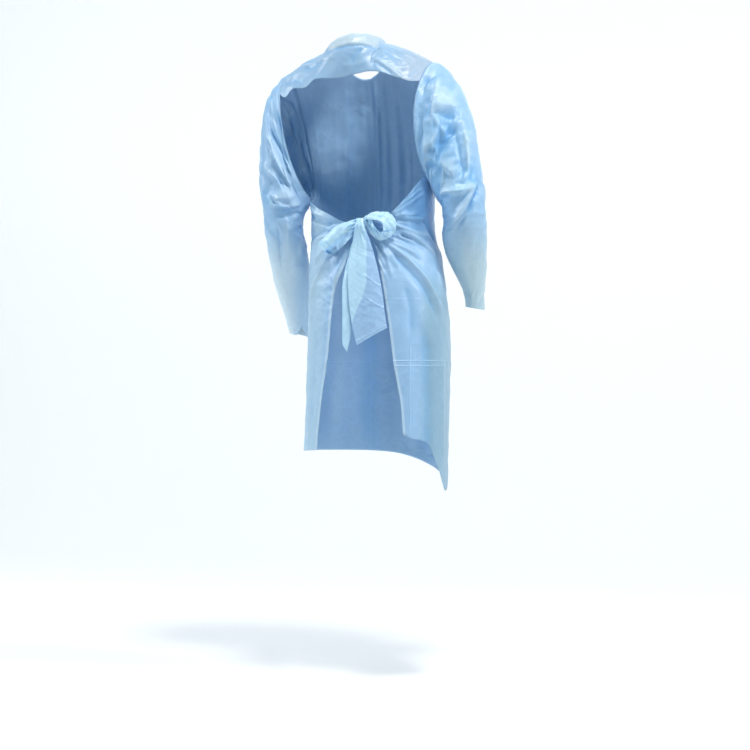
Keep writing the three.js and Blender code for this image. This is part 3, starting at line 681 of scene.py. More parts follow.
            # a heat-set line in film is about 2.5 mm wide
            scaled = reckon(tree, "MULTIPLY", reckon(tree, "MULTIPLY", distance, distance), -0.5)
            total = reckon(tree, "ADD", reckon(tree, "EXPONENT", scaled), total)
        return reckon(tree, "MULTIPLY", total, marks.node.outputs["Alpha"])


@dataclass(frozen=True)
class MattFinish:
    """Plain matt surface with a fine grain in its tone.

    Attributes:
        name: name of the material.
        code: sRGB hex colour.
        grain: scale of the grain, per metre.
        darkest: tone of the darkest grain.
        roughness: roughness of the surface.
    """

    name: str
    code: str
    grain: float
    darkest: float
    roughness: float

    def material(self) -> bpy.types.Material:
        """The finish's material.

        Returns:
            The material.
        """
        material = empty_material(self.name)
        tree = material.node_tree
        place = add_node(tree, "TexCoord", out="Object")
        grain = add_node(tree, "TexNoise", {"Vector": place, "Scale": self.grain}, "Fac")
        tone = add_node(tree, "MapRange", {"Value": grain, "To Min": self.darkest, "To Max": 1.0}, "Result")
        plain = (*to_linear(hex_colour(self.code)), 1.0)
        colour = add_node(tree, "Mix", {0: 1.0, 6: plain, 7: tone}, 2, data_type="RGBA", blend_type="MULTIPLY")
        shader = add_node(tree, "BsdfPrincipled", {"Base Color": colour, "Roughness": self.roughness})
        add_node(tree, "OutputMaterial", {"Surface": shader})
        return material


# one thin layer: satin, cloudy and a little translucent, with soft crumples
BODY_FILM = PlasticFilm("blown_polyethylene_film", "film", "#9cc3e6")
# the tie lies double and is handled most: paler, glossier and more crumpled
TIE_FILM = PlasticFilm("doubled_polyethylene_film", "tie_film", "#bfe6ff", roughness=0.38, crumple=0.0012, facet=0.2)
# inside of a slit in the film, which looks dark because no light reaches it
SHADED_SLIT = MattFinish("shaded_film_slit", "#3d6ea3", 600.0, 0.7, 0.8)
# matt painted studio floor and wall, almost without a shine
PALE_BACKDROP = MattFinish("matt_white_paint", "#ffffff", 1.3, 0.985, 0.9)


# ---------------------------------------------------------------- body
@dataclass(frozen=True)
class BodySection:
    """Level section of the body: its height, middle and half sizes, in millimetres."""

    z: float
    mid_x: float
    mid_y: float
    half_width: float
    half_depth: float


@dataclass(frozen=True)
class SleeveSection:
    """Section of a sleeve: its outer and inner points, its half depths and the swing of its back."""

    top: tuple[float, float, float]
    under: tuple[float, float, float]
    front: float
    back: float
    swing: float


def weld_gap(around: Array) -> Array:
    """Clearance between the two sheets at an armhole's weld, widest at the armpit, in millimetres."""
    return 0.4 + 2.0 * bump(around - 0.5, 0.1)


@dataclass
class SleeveForm:
    """Rounded form of one sleeve, from the armhole to the cuff.

    `around` runs from 0 at the top of the arm over 0.25 at the back and 0.5 underneath to 0.75 in front.
    """

    side: Side
    sections: tuple[SleeveSection, ...]
    folds: FoldedSheet
    crumple: Crumple

    def point(self, around: Array, share: Array) -> Array:
        """Points of the plain form.

        Args:
            around: shares round the arm.
            share: shares of the way along it.

        Returns:
            The points, in millimetres.
        """
        top = points_along([row.top for row in self.sections], share)
        under = points_along([row.under for row in self.sections], share)
        front, back, swing = points_along([(row.front, row.back, row.swing) for row in self.sections], share).T
        turn = 2 * math.pi * around
        backward = np.sin(turn)
        point = (top + under) / 2 + (top - under) / 2 * np.cos(turn)[:, None]
        point[:, 1] += backward * np.where(backward > 0, back, front)
        point[:, 0] += np.maximum(backward, 0) ** 1.6 * swing
        return point

    def folded(self, around: Array, share: Array) -> Array:
        """Points of the form with its folds, which fade out at the armhole and the cuff.

        Args:
            around: shares round the arm.
            share: shares of the way along it.

        Returns:
            The points, in millimetres.
        """
        point = self.point(around, share)
        middle = (self.point(np.zeros_like(around), share) + self.point(np.full_like(around, 0.5), share)) / 2
        outward = point - middle
        outward /= np.linalg.norm(outward, axis=1)[:, None]
        return point + outward * self.rise(around, share)[:, None]

    def rise(self, around: Array, share: Array) -> Array:
        """Heights of the folds and crumples, in millimetres.

        Args:
            around: shares round the arm.
            share: shares of the way along it.

        Returns:
            The heights.
        """
        smoother = mix(1.0, 0.45, ramp(share, 0.5, 0.25))
        crumples = smoother * self.crumple.height(self.point(around, share))
        return fade_ends(share, 0.03) * (self.folds.height(around, share) + crumples)


@dataclass
class BodyForm:
    """Rounded form of the body, its free edges, its neck and shoulders."""

    sections: tuple[BodySection, ...]
    hem: tuple[tuple[float, float], ...]
    back_edge: dict[Side, tuple[tuple[float, float], ...]]
    wrap_top: dict[Side, tuple[tuple[float, float], ...]]
    neck_rim: tuple[tuple[float, float], ...]
    sleeves: dict[Side, SleeveForm]
    folds: FoldedSheet
    crumple: Crumple
    squareness: float = 2.2  # exponent of the level sections; 2 would be an oval
    neck_middle: tuple[float, float] = (5.0, -12.0)
    neck_half_width: float = 64.0
    neck_front: float = 75.0
    neck_back: float = 74.0
    shoulder_swell: float = 6.0
    knot: tuple[float, float] = (-36.0, -420.0)  # x and height of the bow's knot

    def size(self, name: str, z: Array) -> Array:
        """A column of the sections at a height."""
        return look_up([row.z for row in self.sections], [getattr(row, name) for row in self.sections], z)

    def point(self, angle: Array, z: Array) -> Array:
        """Points at an angle from the front's middle, positive to the wearer's left, and a height.

        Args:
            angle: angles round the body, in degrees.
            z: heights, in millimetres.

        Returns:
            The points, in millimetres.
        """
        turn = np.radians(angle)
        sideways = (np.abs(np.sin(turn)) / self.size("half_width", z)) ** self.squareness
        frontward = (np.abs(np.cos(turn)) / self.size("half_depth", z)) ** self.squareness
        radius = (sideways + frontward) ** (-1 / self.squareness)
        x = self.size("mid_x", z) + radius * np.sin(turn)
        return stack(x, self.size("mid_y", z) - radius * np.cos(turn), z)

    def folded(self, angle: Array, z: Array) -> Array:
        """Points with the folds of the film.

        Args:
            angle: angles round the body, in degrees.
            z: heights, in millimetres.

        Returns:
            The points, in millimetres.
        """
        angle, z = np.broadcast_arrays(np.asarray(angle, float), np.asarray(z, float))
        outward = stack(np.sin(np.radians(angle)), -np.cos(np.radians(angle)), np.zeros_like(z))
        return self.point(angle, z) + outward * self.rise(angle, z)[:, None]

    def rise(self, angle: Array, z: Array) -> Array:
        """Heights of the folds and crumples, in millimetres; the film is drawn flat at both armpits.

        Args:
            angle: angles round the body, in degrees.
            z: heights, in millimetres.

        Returns:
            The heights.
        """
        smoother = mix(0.5, 1.0, ramp(z, -640, 140))
        fade = 1.0
        for side in Side:
            gap = np.hypot((angle - 90 * side.value) * BODY_DEGREE, z - self.wrap_top[side][-1][1])
            fade = fade * ramp(gap, 4, 26)
        return fade * (self.folds.height(angle, z) + smoother * self.crumple.height(self.point(angle, z)))

    def angle_of(self, points: Array) -> Array:
        """Angles round the body of points on it, in degrees."""
        x, y, z = points.T
        return np.degrees(np.arctan2(x - self.size("mid_x", z), self.size("mid_y", z) - y))

    def armhole(self, side: Side, around: Array) -> Array:
        """Points of an armhole, where the body panel and the yoke are welded to the sleeve.

        Args:
            side: the wearer's side.
            around: shares round the arm.

        Returns:
            The points, in millimetres.
        """
        point = self.sleeves[side].point(around, np.zeros_like(around))
        point[:, 0] -= side.value * weld_gap(around)
        return point

    def neck(self, angle: Array) -> Array:
        """Points of the neck's oval.

        Args:
            angle: angles round the neck, in degrees.

        Returns:
            The points, in millimetres.
        """
        turn = np.radians(angle)
        depth = np.where(np.abs(angle) < 90, self.neck_front, self.neck_back)
        x = self.neck_middle[0] + self.neck_half_width * np.sin(turn)
        y = self.neck_middle[1] - depth * np.cos(turn)
        return stack(x, y, look_up_pairs(self.neck_rim, angle))

    def shoulder(self, side: Side, share: Array) -> Array:
        """Points of a shoulder seam, from the armhole to the neck.

        Args:
            side: the wearer's side.
            share: shares of the way along it.

        Returns:
            The points, in millimetres.
        """
        outer = self.armhole(side, np.full_like(share, 1.0))
        inner = self.neck(np.full_like(share, 90.0 * side.value))
        point = mix(outer, inner, share[:, None])
        point[:, 2] += self.shoulder_swell * np.sin(math.pi * share)
        return point


@dataclass
class BodyPanel:
    """One sheet of film: front, sides and both back wraps, open down the back."""

    form: BodyForm
    film: PlasticFilm = BODY_FILM
    left_columns: int = 66
    front_columns: int = 90
    right_columns: int = 88
    rows: int = 146
    upper_rows: int = 60
    shoulder_share: float = 0.3  # of the upper edge, for each shoulder seam
    neck_arch: tuple[float, float] = (-16.0, 44.0)  # bow of the plain edge over the neck, backwards and upwards
    neckline_cut: float = 0.26  # share of the height that the neckline takes away
    armhole_fall: float = 2.0  # exponent with which an armhole's fullness dies away inwards
    neck_shift: float = 16.0  # degrees by which the front's columns follow the neck
    chest_dip: float = 34.0  # drop of the chest line in front, in millimetres
    arch: tuple[float, float, float] = (0.0, 300.0, 250.0)  # slope with which the film reaches the shoulders
    seam_start: float = 0.72  # share of the right upper edge from which it is welded to the armhole
    seam_around: float = 0.085  # share of the armhole that this weld takes
    knot_pull: tuple[float, float] = (9.0, 26.0)  # how far the film stands out at the knot, and half its reach
    column_width: float = 1.8  # near the free edges, in millimetres
    wrap_creases: tuple[float, float, float] = (-596.0, -737.6, -749.0)  # heights of the creases across the wrap
    upright_crease: float = -148.0  # x of the crease down the wrap
    front_creases: tuple[float, float] = (8.0, -452.0)  # x and height of the creases of the front

    def chest_line(self, angle: Array) -> Array:
        """Height at which the front leaves the rounded sections.

        Args:
            angle: angles round the body, in degrees.

        Returns:
            The heights, in millimetres.
        """
        share = (angle + 90) / 180
        dip = self.chest_dip * smooth((90 - np.abs(angle)) / 36)
        return mix(self.form.wrap_top[Side.RIGHT][-1][1], self.form.wrap_top[Side.LEFT][-1][1], share) - dip

    def front_angle(self, share: Array) -> Array:
        """Angle at a share of the way over the front, from the wearer's left side to the right."""
        return 90 * (1 - 2 * share) + self.neck_shift * np.sin(math.pi * share) ** 2

    @staticmethod
    def closer_at_top(v: Array) -> Array:
        """Share of the height, with rows drawn closer together towards the upper edge."""
        below = 1 - v
        return 1 - (0.27 * below + 0.73 * below * below)

    @property
    def columns(self) -> int:
        """Columns all the way round."""
        return self.left_columns + self.front_columns + self.right_columns

    def lower(self, u: Array, v: Array) -> Array:
        """Skirt, waist and wraps, from the left back edge round the front to the right back edge.

        Args:
            u: shares of the way round.
            v: shares of the way up.

        Returns:
            The points, in millimetres.
        """
        total = self.columns
        column = u * total
        point = np.zeros((len(u), 3))
        left = column < self.left_columns - 1e-6
        right = column > self.left_columns + self.front_columns + 1e-6
        front = ~(left | right)
        point[left] = self.wrap(Side.LEFT, column[left] / self.left_columns, v[left])
        point[right] = self.wrap(Side.RIGHT, (total - column[right]) / self.right_columns, v[right])
        share = (column[front] - self.left_columns) / self.front_columns
        angle = self.front_angle(share)
        hem = look_up_pairs(self.form.hem, angle)
        even = smooth(np.minimum(share, 1 - share) * 4)
        up = mix(self.closer_at_top(v[front]), v[front], even)
        point[front] = self.form.folded(angle, mix(hem, self.chest_line(angle), up))
        return point

    def wrap(self, side: Side, share: Array, v: Array) -> Array:
        """A back wrap: share 0 is its free edge, 1 the wearer's side.

        Args:
            side: the wearer's side.
            share: shares of the way over it.
            v: shares of the way up.

        Returns:
            The points, in millimetres.
        """
        form = self.form
        edge_rows, top_rows = form.back_edge[side], form.wrap_top[side]
        top = look_up_pairs(top_rows, share)
        hem_angle = mix(edge_rows[0][1], side.value * 90.0, share)
        hem = look_up_pairs(form.hem, hem_angle)
        z = hem + (top - hem) * self.closer_at_top(v)
        edge = look_up_pairs(edge_rows, np.maximum(z, edge_rows[0][0]))
        point = form.folded(mix(edge, side.value * 90.0, share), z)
        rise, reach = self.knot_pull
        point[:, 1] += rise * bump(np.hypot(point[:, 0] - form.knot[0], point[:, 2] - form.knot[1]), reach)
        if side is Side.RIGHT:
            point += self.seam_pull(share) * smooth(1 - (top - z) / 70)[:, None]
        return point

    def seam_pull(self, share: Array) -> Array:
        """How far the right wrap's upper edge is drawn onto the back of its armhole.

        Args:
            share: shares of the way from its free edge to the wearer's side.

        Returns:
            The offsets, in millimetres.
        """
        form, side = self.form, Side.RIGHT
        top_rows, edge_rows = form.wrap_top[side], form.back_edge[side]
        top = look_up_pairs(top_rows, share)
        edge = look_up_pairs(edge_rows, top)
        free = form.folded(mix(edge, -90.0, share), top)
        around = 0.5 - self.seam_around * np.minimum(1 - share, 1 - self.seam_start) / (1 - self.seam_start)
        one = np.ones(1)
        corner = form.armhole(side, 0.5 * one) - form.folded(-90 * one, top_rows[-1][1] * one)
        weight = smooth((share - self.seam_start + 0.15) / 0.15)
        return (form.armhole(side, around) - corner * share[:, None] - free) * weight[:, None]

    def shoulder_line(self, u: Array) -> Array:
        """The line over the shoulders, arched across the neck opening.

        Args:
            u: shares of the way from the left armhole to the right one.

        Returns:
            The points, in millimetres.
        """
        form = self.form
        from_end = np.minimum(u, 1 - u)
        is_seam = from_end < self.shoulder_share - 1e-6
        share = np.clip((u - self.shoulder_share) / (1 - 2 * self.shoulder_share), 0, 1)
        point = mix(form.neck(np.full_like(u, 90.0)), form.neck(np.full_like(u, -90.0)), share[:, None])
        point[:, 1:] += (share * (1 - share))[:, None] * np.array(self.neck_arch)
        for side, mask in ((Side.LEFT, is_seam & (u < 0.5)), (Side.RIGHT, is_seam & (u >= 0.5))):
            point[mask] = form.shoulder(side, from_end[mask] / self.shoulder_share)
        return point

    def arch_point(self, u: Array, share: Array) -> Array:
        """Film from the chest line to the line over the shoulders, without neckline or armholes.

        Args:
            u: shares of the way across.
            share: shares of the way up.

        Returns:
            The points, in millimetres.
        """
        angle = self.front_angle(u)
        level = self.chest_line(angle)
        chest = self.form.folded(angle, level)
        below = self.form.folded(angle, level - 10)
        top = self.shoulder_line(u)
        leaving = (chest - below) * ((top[:, 2] - chest[:, 2]) / 10)[:, None]
        return hermite(chest, top, leaving, np.array(self.arch), share[:, None])

    def armhole_fullness(self, side: Side, share: Array) -> Array:
        """How far the front edge of an armhole stands off the plain arch between its ends.

        Args:
            side: the wearer's side.
            share: shares of the way up the edge.

        Returns:
            The offsets, in millimetres.
        """
        end = np.full_like(share, 0.0 if side is Side.LEFT else 1.0)
        edge = self.form.armhole(side, 0.5 + 0.5 * share)
        start = self.form.armhole(side, np.full_like(share, 0.5)) - self.arch_point(end, np.zeros_like(share))
        return edge - self.arch_point(end, share) - start * (1 - smooth(share / 0.03))[:, None]

    def upper(self, u: Array, v: Array) -> Array:
        """Front above the chest line, with the neckline cut out of it.

        Args:
            u: shares of the way across.
            v: shares of the way up.

        Returns:
            The points, in millimetres.
        """
        neck = np.clip((u - self.shoulder_share) / (1 - 2 * self.shoulder_share), 0, 1)
        share = v * (1 - self.neckline_cut * (4 * neck * (1 - neck)) ** 0.62)
        point = self.arch_point(u, share)
        fall = self.armhole_fall * (1 + 3 * (1 - share) ** 2)
        point += self.armhole_fullness(Side.LEFT, share) * ((1 - u) ** fall)[:, None]
        point += self.armhole_fullness(Side.RIGHT, share) * (u**fall)[:, None]
        point[:, 1] -= 1.3 * fade_ends(v, 0.08) * fade_ends(u, 0.05) * self.form.crumple.height(point)
        return point

    def build(self) -> None:
        """Lays the panel."""
        maker = SheetMaker("gown_body")
        maker.lay(self.lower, self.columns, self.rows)
        maker.lay(self.upper, self.front_columns, self.upper_rows)
        piece = maker.finish(self.film, tint=self.tint, lines=self.lines, inside_out=True)
        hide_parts("body_panel")

    def tint(self, points: Array, shares: Array) -> Array:
        """sRGB colour: painted shade under the right arm, a paler strip along the free edges of the wraps, and painted
        shade and highlights over the folds.

        Args:
            points: points, in millimetres.
            shares: their shares across and along.

        Returns:
            The colours, from 0 to 1.
        """
        x, y, z = points.T
        is_lower = np.arange(len(points)) < (self.columns + 1) * (self.rows + 1)
        from_edge = np.minimum(shares[:, 0], 1 - shares[:, 0]) * self.columns * self.column_width
        # painted shade on the top of the right wrap, where it lies under the right arm
        under_arm_shade = bump((z + 385) / 60, 1.0) * smooth(y / 60) * ramp(-x, 90, 60)
        right_side = ramp(-x, 158, 30) * ramp(-z, 500, 120)
        left_wrap = ramp(x, 40, 40) * ramp(y, 20, 40)
        turned = smooth((7.5 - from_edge) / 2) * ramp(-z, 470, 60) * is_lower
        colour = np.tile(self.film.colour, (len(points), 1))
        # the first patch is the painted shade under the right arm
        patches = (("#70aade", 0.8, under_arm_shade), ("#8db0c4", 0.8, right_side), ("#b9d6ea", 0.75, left_wrap))
        for code, amount, where in patches:
            colour = mix(colour, hex_colour(code), (amount * where)[:, None])
        # painted shade in the troughs of the lower sheet's folds and painted highlights on their ridges
        folds = self.form.rise(self.form.angle_of(points), z)
        colour = shaded(colour, np.where(is_lower, folds, 0.0), 0.28)
        return mix(colour, hex_colour("#c4dcf0"), (0.7 * turned)[:, None])

    def lines(self, points: Array, shares: Array) -> Array:
        """Distances to the packing creases, in millimetres, and their strength.

        The right wrap has creases across it and one down it, and the front has fainter ones.

        Args:
            points: points, in millimetres.
            shares: their shares across and along; not used.

        Returns:
            Three distances and the strength, for each point.
        """
        x, y, z = points.T
        is_front, is_high = y < 0, z >= -660
        upper, lower, twin = self.wrap_creases
        first = np.where(is_high, z - upper, z - lower)
        second = z - np.where(is_front, self.front_creases[1], twin)
        third = np.where(is_front, x - self.front_creases[0], np.where(z < -700, x - self.upright_crease, NO_LINE))
        strong = ramp(-x, 92, 12) * ramp(z, -790, 10) * (z < -660)
        faint = 0.4 * ramp(-x, 76, 10) * ramp(x, -168, 10) * (z > -660)
        upright = ramp(-z, 752, 8) * ramp(z, -912, 30)
        wrap = np.maximum(np.maximum(strong, faint), upright) * ramp(y, 20, 15) * (x < 0)
        front = 0.45 * ramp(-y, 60, 20) * ramp(z, -1000, 60) * ramp(-z, 300, 60)
        return np.stack([first, second, third, np.maximum(wrap, front)], -1)


@dataclass
class BackYoke:
    """Short sheet over the shoulder blades, welded to both armholes and to the front along the shoulders."""

    form: BodyForm
    edge: tuple[tuple[float, float, float], ...]
    folds: FoldedSheet
    crumple: Crumple
    film: PlasticFilm = BODY_FILM
    columns: int = 150
    rows: int = 54
    corner_around: float = 0.14  # share of each armhole that the yoke takes
    swell: tuple[float, float] = (9.0, 12.0)  # how far the middle stands out, backwards and upwards
    # shares across and up of the collar's lower edge, and of the line of slits beside it
    collar: tuple[tuple[float, float], ...] = (
        (0.34, 0.54), (0.397, 0.46), (0.516, 0.467), (0.624, 0.427), (0.70, 0.38),
    )
    tear: tuple[tuple[float, float], ...] = ((0.676, 0.473), (0.655, 0.36), (0.645, 0.27), (0.645, 0.193))
    slits: int = 8
    slit: tuple[float, float, float] = (3.0, 1.5, 0.3)  # length, width and thickness, in millimetres
    slit_spread: float = 0.035  # half the stretch of the line that gives a slit its direction
    slit_lift: float = 0.35  # millimetres from the middle of the film

    def top(self, u: Array) -> Array:
        """Shoulder seams and the neck's rim between them.

        Args:
            u: shares of the way across.

        Returns:
            The points, in millimetres.
        """
        form = self.form
        angle = np.where(u < 0.5, 90 + 180 * (3 * u - 1), -270 + 180 * (3 * u - 1))
        point = form.neck(angle)
        left, right = u <= 1 / 3, u >= 2 / 3
        point[left] = form.shoulder(Side.LEFT, 3 * u[left])
        point[right] = form.shoulder(Side.RIGHT, 3 * (1 - u[right]))
        return point

    def side(self, side: Side, v: Array) -> Array:
        """Edge along an armhole."""
        return self.form.armhole(side, self.corner_around * (1 - v))

    def lower(self, u: Array) -> Array:
        """Free lower edge.

        Args:
            u: shares of the way across.

        Returns:
            The points, in millimetres.
        """
        zero = np.zeros(1)
        corners = [tuple(self.side(side, zero)[0]) for side in (Side.LEFT, Side.RIGHT)]
        rows = [corners[0], *self.edge, corners[1]]
        return points_along(rows, u)

    def surface(self, u: Array, v: Array) -> Array:
        """Points of the yoke, from its left side to its right and from its lower edge up.

        Args:
            u: shares of the way across.
            v: shares of the way up.

        Returns:
            The points, in millimetres.
        """
        a, b = u[:, None], v[:, None]
        left, right = self.side(Side.LEFT, v), self.side(Side.RIGHT, v)
        bottom, top = self.lower(u), self.top(u)
        ends = [self.lower(np.full(1, e)) for e in (0.0, 1.0)]
        point = (1 - b) * bottom + b * top + (1 - a) * left + a * right
        point -= (1 - a) * (1 - b) * ends[0] + a * (1 - b) * ends[1]
        point -= (1 - a) * b * self.top(np.zeros(1)) + a * b * self.top(np.ones(1))
        swell = 4 * v * (1 - v) * np.sin(math.pi * u)
        fade = fade_ends(u, 0.04) * np.where(np.abs(u - 0.5) > 1 / 6, smooth((1 - v) / 0.12), 1)
        rise = (self.folds.height(u, v) + self.crumple.height(point)) * fade
        point[:, 1] += self.swell[0] * swell + 0.75 * rise
        point[:, 2] += self.swell[1] * swell + 0.66 * rise
        return point

    def tint(self, points: Array, shares: Array) -> Array:
        """sRGB colour: paler at the collar, greyer towards the wearer's right shoulder, and painted shade and
        highlights over the folds.

        Args:
            points: points, in millimetres; not used.
            shares: their shares across and along.

        Returns:
            The colours, from 0 to 1.
        """
        u, v = shares[:, 0], shares[:, 1]
        colour = np.tile(hex_colour("#94b8d8"), (len(u), 1))
        colour = mix(colour, hex_colour("#a2b9d0"), ramp(u, 0.7, 0.25)[:, None])
        # painted shade in the troughs of the folds and painted highlights on their ridges
        colour = shaded(colour, 3 * self.folds.height(u, v), 0.22)
        collar = smooth((v - look_up_pairs(self.collar, u)) / 0.03)
        collar = collar * ramp(u, 0.36, 0.05) * smooth((0.68 - u) / 0.04)
        return mix(colour, hex_colour("#bccfda"), 0.85 * collar[:, None])

    def build(self) -> None:
        """Lays the yoke."""
        maker = SheetMaker("shoulder_yoke")
        maker.lay(self.surface, self.columns, self.rows)
        piece = maker.finish(self.film, tint=self.tint)
        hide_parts("back_yoke")
        self.build_tear()

    def build_tear(self) -> None:
        """Lays the short slits of the line along which the neck is torn open."""
        mesh = bmesh.new()
        for middle in np.linspace(0.0, 1.0, self.slits):
            ends = np.clip(middle + self.slit_spread * np.array([-1, 1]), 0, 1)
            u, v = points_along(self.tear, ends).T
            start, end = self.surface(u, v)
            away = np.cross(self.surface(u[:1] + 0.01, v[:1])[0] - start, self.surface(u[:1], v[:1] + 0.02)[0] - start)
            away /= np.linalg.norm(away)
            run = (end - start) / np.linalg.norm(end - start)
            aside = np.cross(away, run)
            centre = (start + end) / 2 + self.slit_lift * away
            for vert in bmesh.ops.create_cube(mesh, size=1.0)["verts"]:
                x, y, z = np.array(vert.co) * self.slit
                vert.co = (centre + run * x + aside * y + away * z) * MM
        piece = to_object("tear_slits", mesh, SHADED_SLIT.material())
        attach(piece, "root")
        LOG.info("tear_slits: %d slits", self.slits)


@dataclass
class Sleeve:
    """Long tube of film from an armhole to its raw cuff.

    Attributes:
        form: its rounded form.
        cuff_from: share of the length from which the forearm's tint starts.
        cuff_tint: sRGB hex colour of the forearm.
        depth: strength of the painted shade over the back of the upper arm and behind the elbow, and of the painted
            shade and highlights over the folds, from 0 to 1.
        notch: place round the cuff, half width and depth of a notch, the last in millimetres.
        elbow_shade: place round the arm and along it, and amount, of the painted shade under the fold behind the
            elbow.
        weld_from_edge: distance of the armhole's weld from the sheet's edge, in millimetres.
        film: its finish.
        columns: facets round it.
        rows: facets along it.
    """

    form: SleeveForm
    cuff_from: float
    cuff_tint: str
    depth: float
    notch: tuple[float, float, float] | None = None
    elbow_shade: tuple[float, float, float] = (0.2, 0.46, 0.75)
    weld_from_edge: float = 5.0
    film: PlasticFilm = BODY_FILM
    columns: int = 170
    rows: int = 268

    def surface(self, u: Array, v: Array) -> Array:
        """Points round the arm and down it.

        Args:
            u: shares round the arm.
            v: shares of the way along.

        Returns:
            The points, in millimetres.
        """
        around = u % 1.0
        share = v.copy()
        if self.notch:
            middle, half, depth = self.notch
            share *= 1 - np.maximum(0, 1 - np.abs(around - middle) / half) * depth / NOTCHED_LENGTH
        point = self.form.folded(around, share)
        point[:, 0] -= self.form.side.value * np.clip(1 - v / 0.03, 0, 1) * weld_gap(around)
        return point

    def tint(self, points: Array, shares: Array) -> Array:
        """sRGB colour: greyer over the forearm, with painted shade behind the elbow and over the back of the upper
        arm, and painted shade and highlights over the folds.

        Args:
            points: points, in millimetres; not used.
            shares: their shares across and along.

        Returns:
            The colours, from 0 to 1.
        """
        u, v = shares.T
        fore = smooth((v - self.cuff_from + 0.06) / 0.26)
        colour = mix(self.film.colour, hex_colour(self.cuff_tint), 0.8 * fore[:, None])
        # painted shade under the fold behind the elbow, and over the back of the upper arm, in a deep blue
        around, share, amount = self.elbow_shade
        elbow = amount * (0.3 + 0.7 * self.depth) * bump(u - around, 0.12) * bump(v - share, 0.05)
        inner = 0.5 * self.depth * bump(u - 0.3, 0.16) * bump(v - 0.25, 0.2)
        colour = mix(colour, hex_colour("#62a8e0"), np.maximum(elbow, inner)[:, None])
        # painted shade in the troughs of the folds and painted highlights on their ridges
        return shaded(colour, self.form.rise(u % 1.0, v), 0.34 + 0.14 * self.depth)

    def lines(self, points: Array, shares: Array) -> Array:
        """Distance to the armhole's weld, in millimetres.

        Args:
            points: points, in millimetres.
            shares: their shares across and along.

        Returns:
            Three distances and the strength, for each point.
        """
        marks = np.tile((NO_LINE, NO_LINE, NO_LINE, 1.0), (len(points), 1))
        marks[:, 0] = shares[:, 1] * SLEEVE_LENGTH - self.weld_from_edge
        return marks

    def build(self) -> None:
        """Lays the sleeve."""
        name = self.form.side.name.lower()
        maker = SheetMaker(f"film_sleeve_{name}")
        maker.lay(self.surface, self.columns, self.rows)
        piece = maker.finish(self.film, tint=self.tint, lines=self.lines, inside_out=self.form.side is Side.LEFT)
        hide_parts(f"sleeve_{name}")


# ---------------------------------------------------------------- bow
@dataclass(frozen=True)
class StripRow:
    """Cross line of a strip of the bow: its two edges, and how far its middle stands out."""

    a: tuple[float, float, float]
    b: tuple[float, float, float]
    swell: float


@dataclass
class BowStrip:
    """One loop or tail of the tie.

    Attributes:
        node: part that it stands for, and start of its own name.
        strip: cross lines at even steps along it.
        folds: its folds.
        crumple: its crumples.
        flat: width and length of the flat strip, in metres; not used.
        columns: facets across it.
        rows: facets along it.
        doubled: shares across it up to which the film lies double, at even steps along it; all of it if empty.
        pressed: up to three pressed lines, each from one place to another, in millimetres across and along it.
        film: its finish.
    """

    node: str
    strip: tuple[StripRow, ...]
    folds: FoldedSheet
    crumple: Crumple
    flat: tuple[float, float]
    columns: int
    rows: int
    doubled: tuple[float, ...] = ()
    pressed: tuple[tuple[float, float, float, float], ...] = ()
    film: PlasticFilm = TIE_FILM

    def surface(self, u: Array, v: Array) -> Array:
        """Points across the strip and along it.

        Args:
            u: shares of the way across.
            v: shares of the way along.

        Returns:
            The points, in millimetres.
        """
        a = points_along([row.a for row in self.strip], v)
        b = points_along([row.b for row in self.strip], v)
        point = mix(a, b, u[:, None])
        point[:, 1] += along([row.swell for row in self.strip], v) * 4 * u * (1 - u)
        middles = [(np.array(row.a) + row.b) / 2 for row in self.strip]
        lengthwise = points_along(middles, np.clip(v + 0.01, 0, 1)) - points_along(middles, np.clip(v - 0.01, 0, 1))
        normal = np.cross(b - a, lengthwise)
        normal /= np.maximum(np.linalg.norm(normal, axis=1), 1e-6)[:, None]
        near_knot = smooth(v / 0.06) * (1.0 if self.node.startswith("tie_tail") else smooth((1 - v) / 0.06))
        return point + normal * (near_knot * (self.folds.height(u, v) + self.crumple.height(point)))[:, None]

    def tint(self, points: Array, shares: Array) -> Array:
        """sRGB colour: deeper where the film lies single, with painted shade in the troughs and painted highlights on
        the ridges.

        Args:
            points: points, in millimetres; not used.
            shares: their shares across and along.

        Returns:
            The colours, from 0 to 1.
        """
        u, v = shares[:, 0], shares[:, 1]
        single = smooth((u - along(self.doubled, v)) / 0.04) if self.doubled else np.zeros_like(u)
        colour = mix(self.film.colour, hex_colour("#a4c8ee"), 0.9 * single[:, None])
        # painted shade in the troughs of the folds and painted highlights on their ridges
        return shaded(colour, 3 * self.folds.height(u, v), 0.35)

    def lines(self, points: Array, shares: Array) -> Array:
        """Distances to the pressed lines, in millimetres, and their strength.

        Args:
            points: points, in millimetres.
            shares: their shares across and along.

        Returns:
            Three distances and the strength, for each point.
        """
        place = shares * self.folds.scale
        marks = np.tile((NO_LINE, NO_LINE, NO_LINE, 1.0), (len(points), 1))
        for i, (x0, y0, x1, y1) in enumerate(self.pressed):
            run = np.array([x1 - x0, y1 - y0])
            offset = place - (x0, y0)
            part = np.clip(offset @ run / (run @ run), 0, 1)
            marks[:, i] = np.linalg.norm(offset - part[:, None] * run, axis=1)
        return marks

    def build(self) -> None:
        """Lays the strip."""
        maker = SheetMaker(f"{self.node}_film")
        maker.lay(self.surface, self.columns, self.rows)
        piece = maker.finish(self.film, tint=self.tint, lines=self.lines, merge=1e-6)
        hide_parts(self.node)


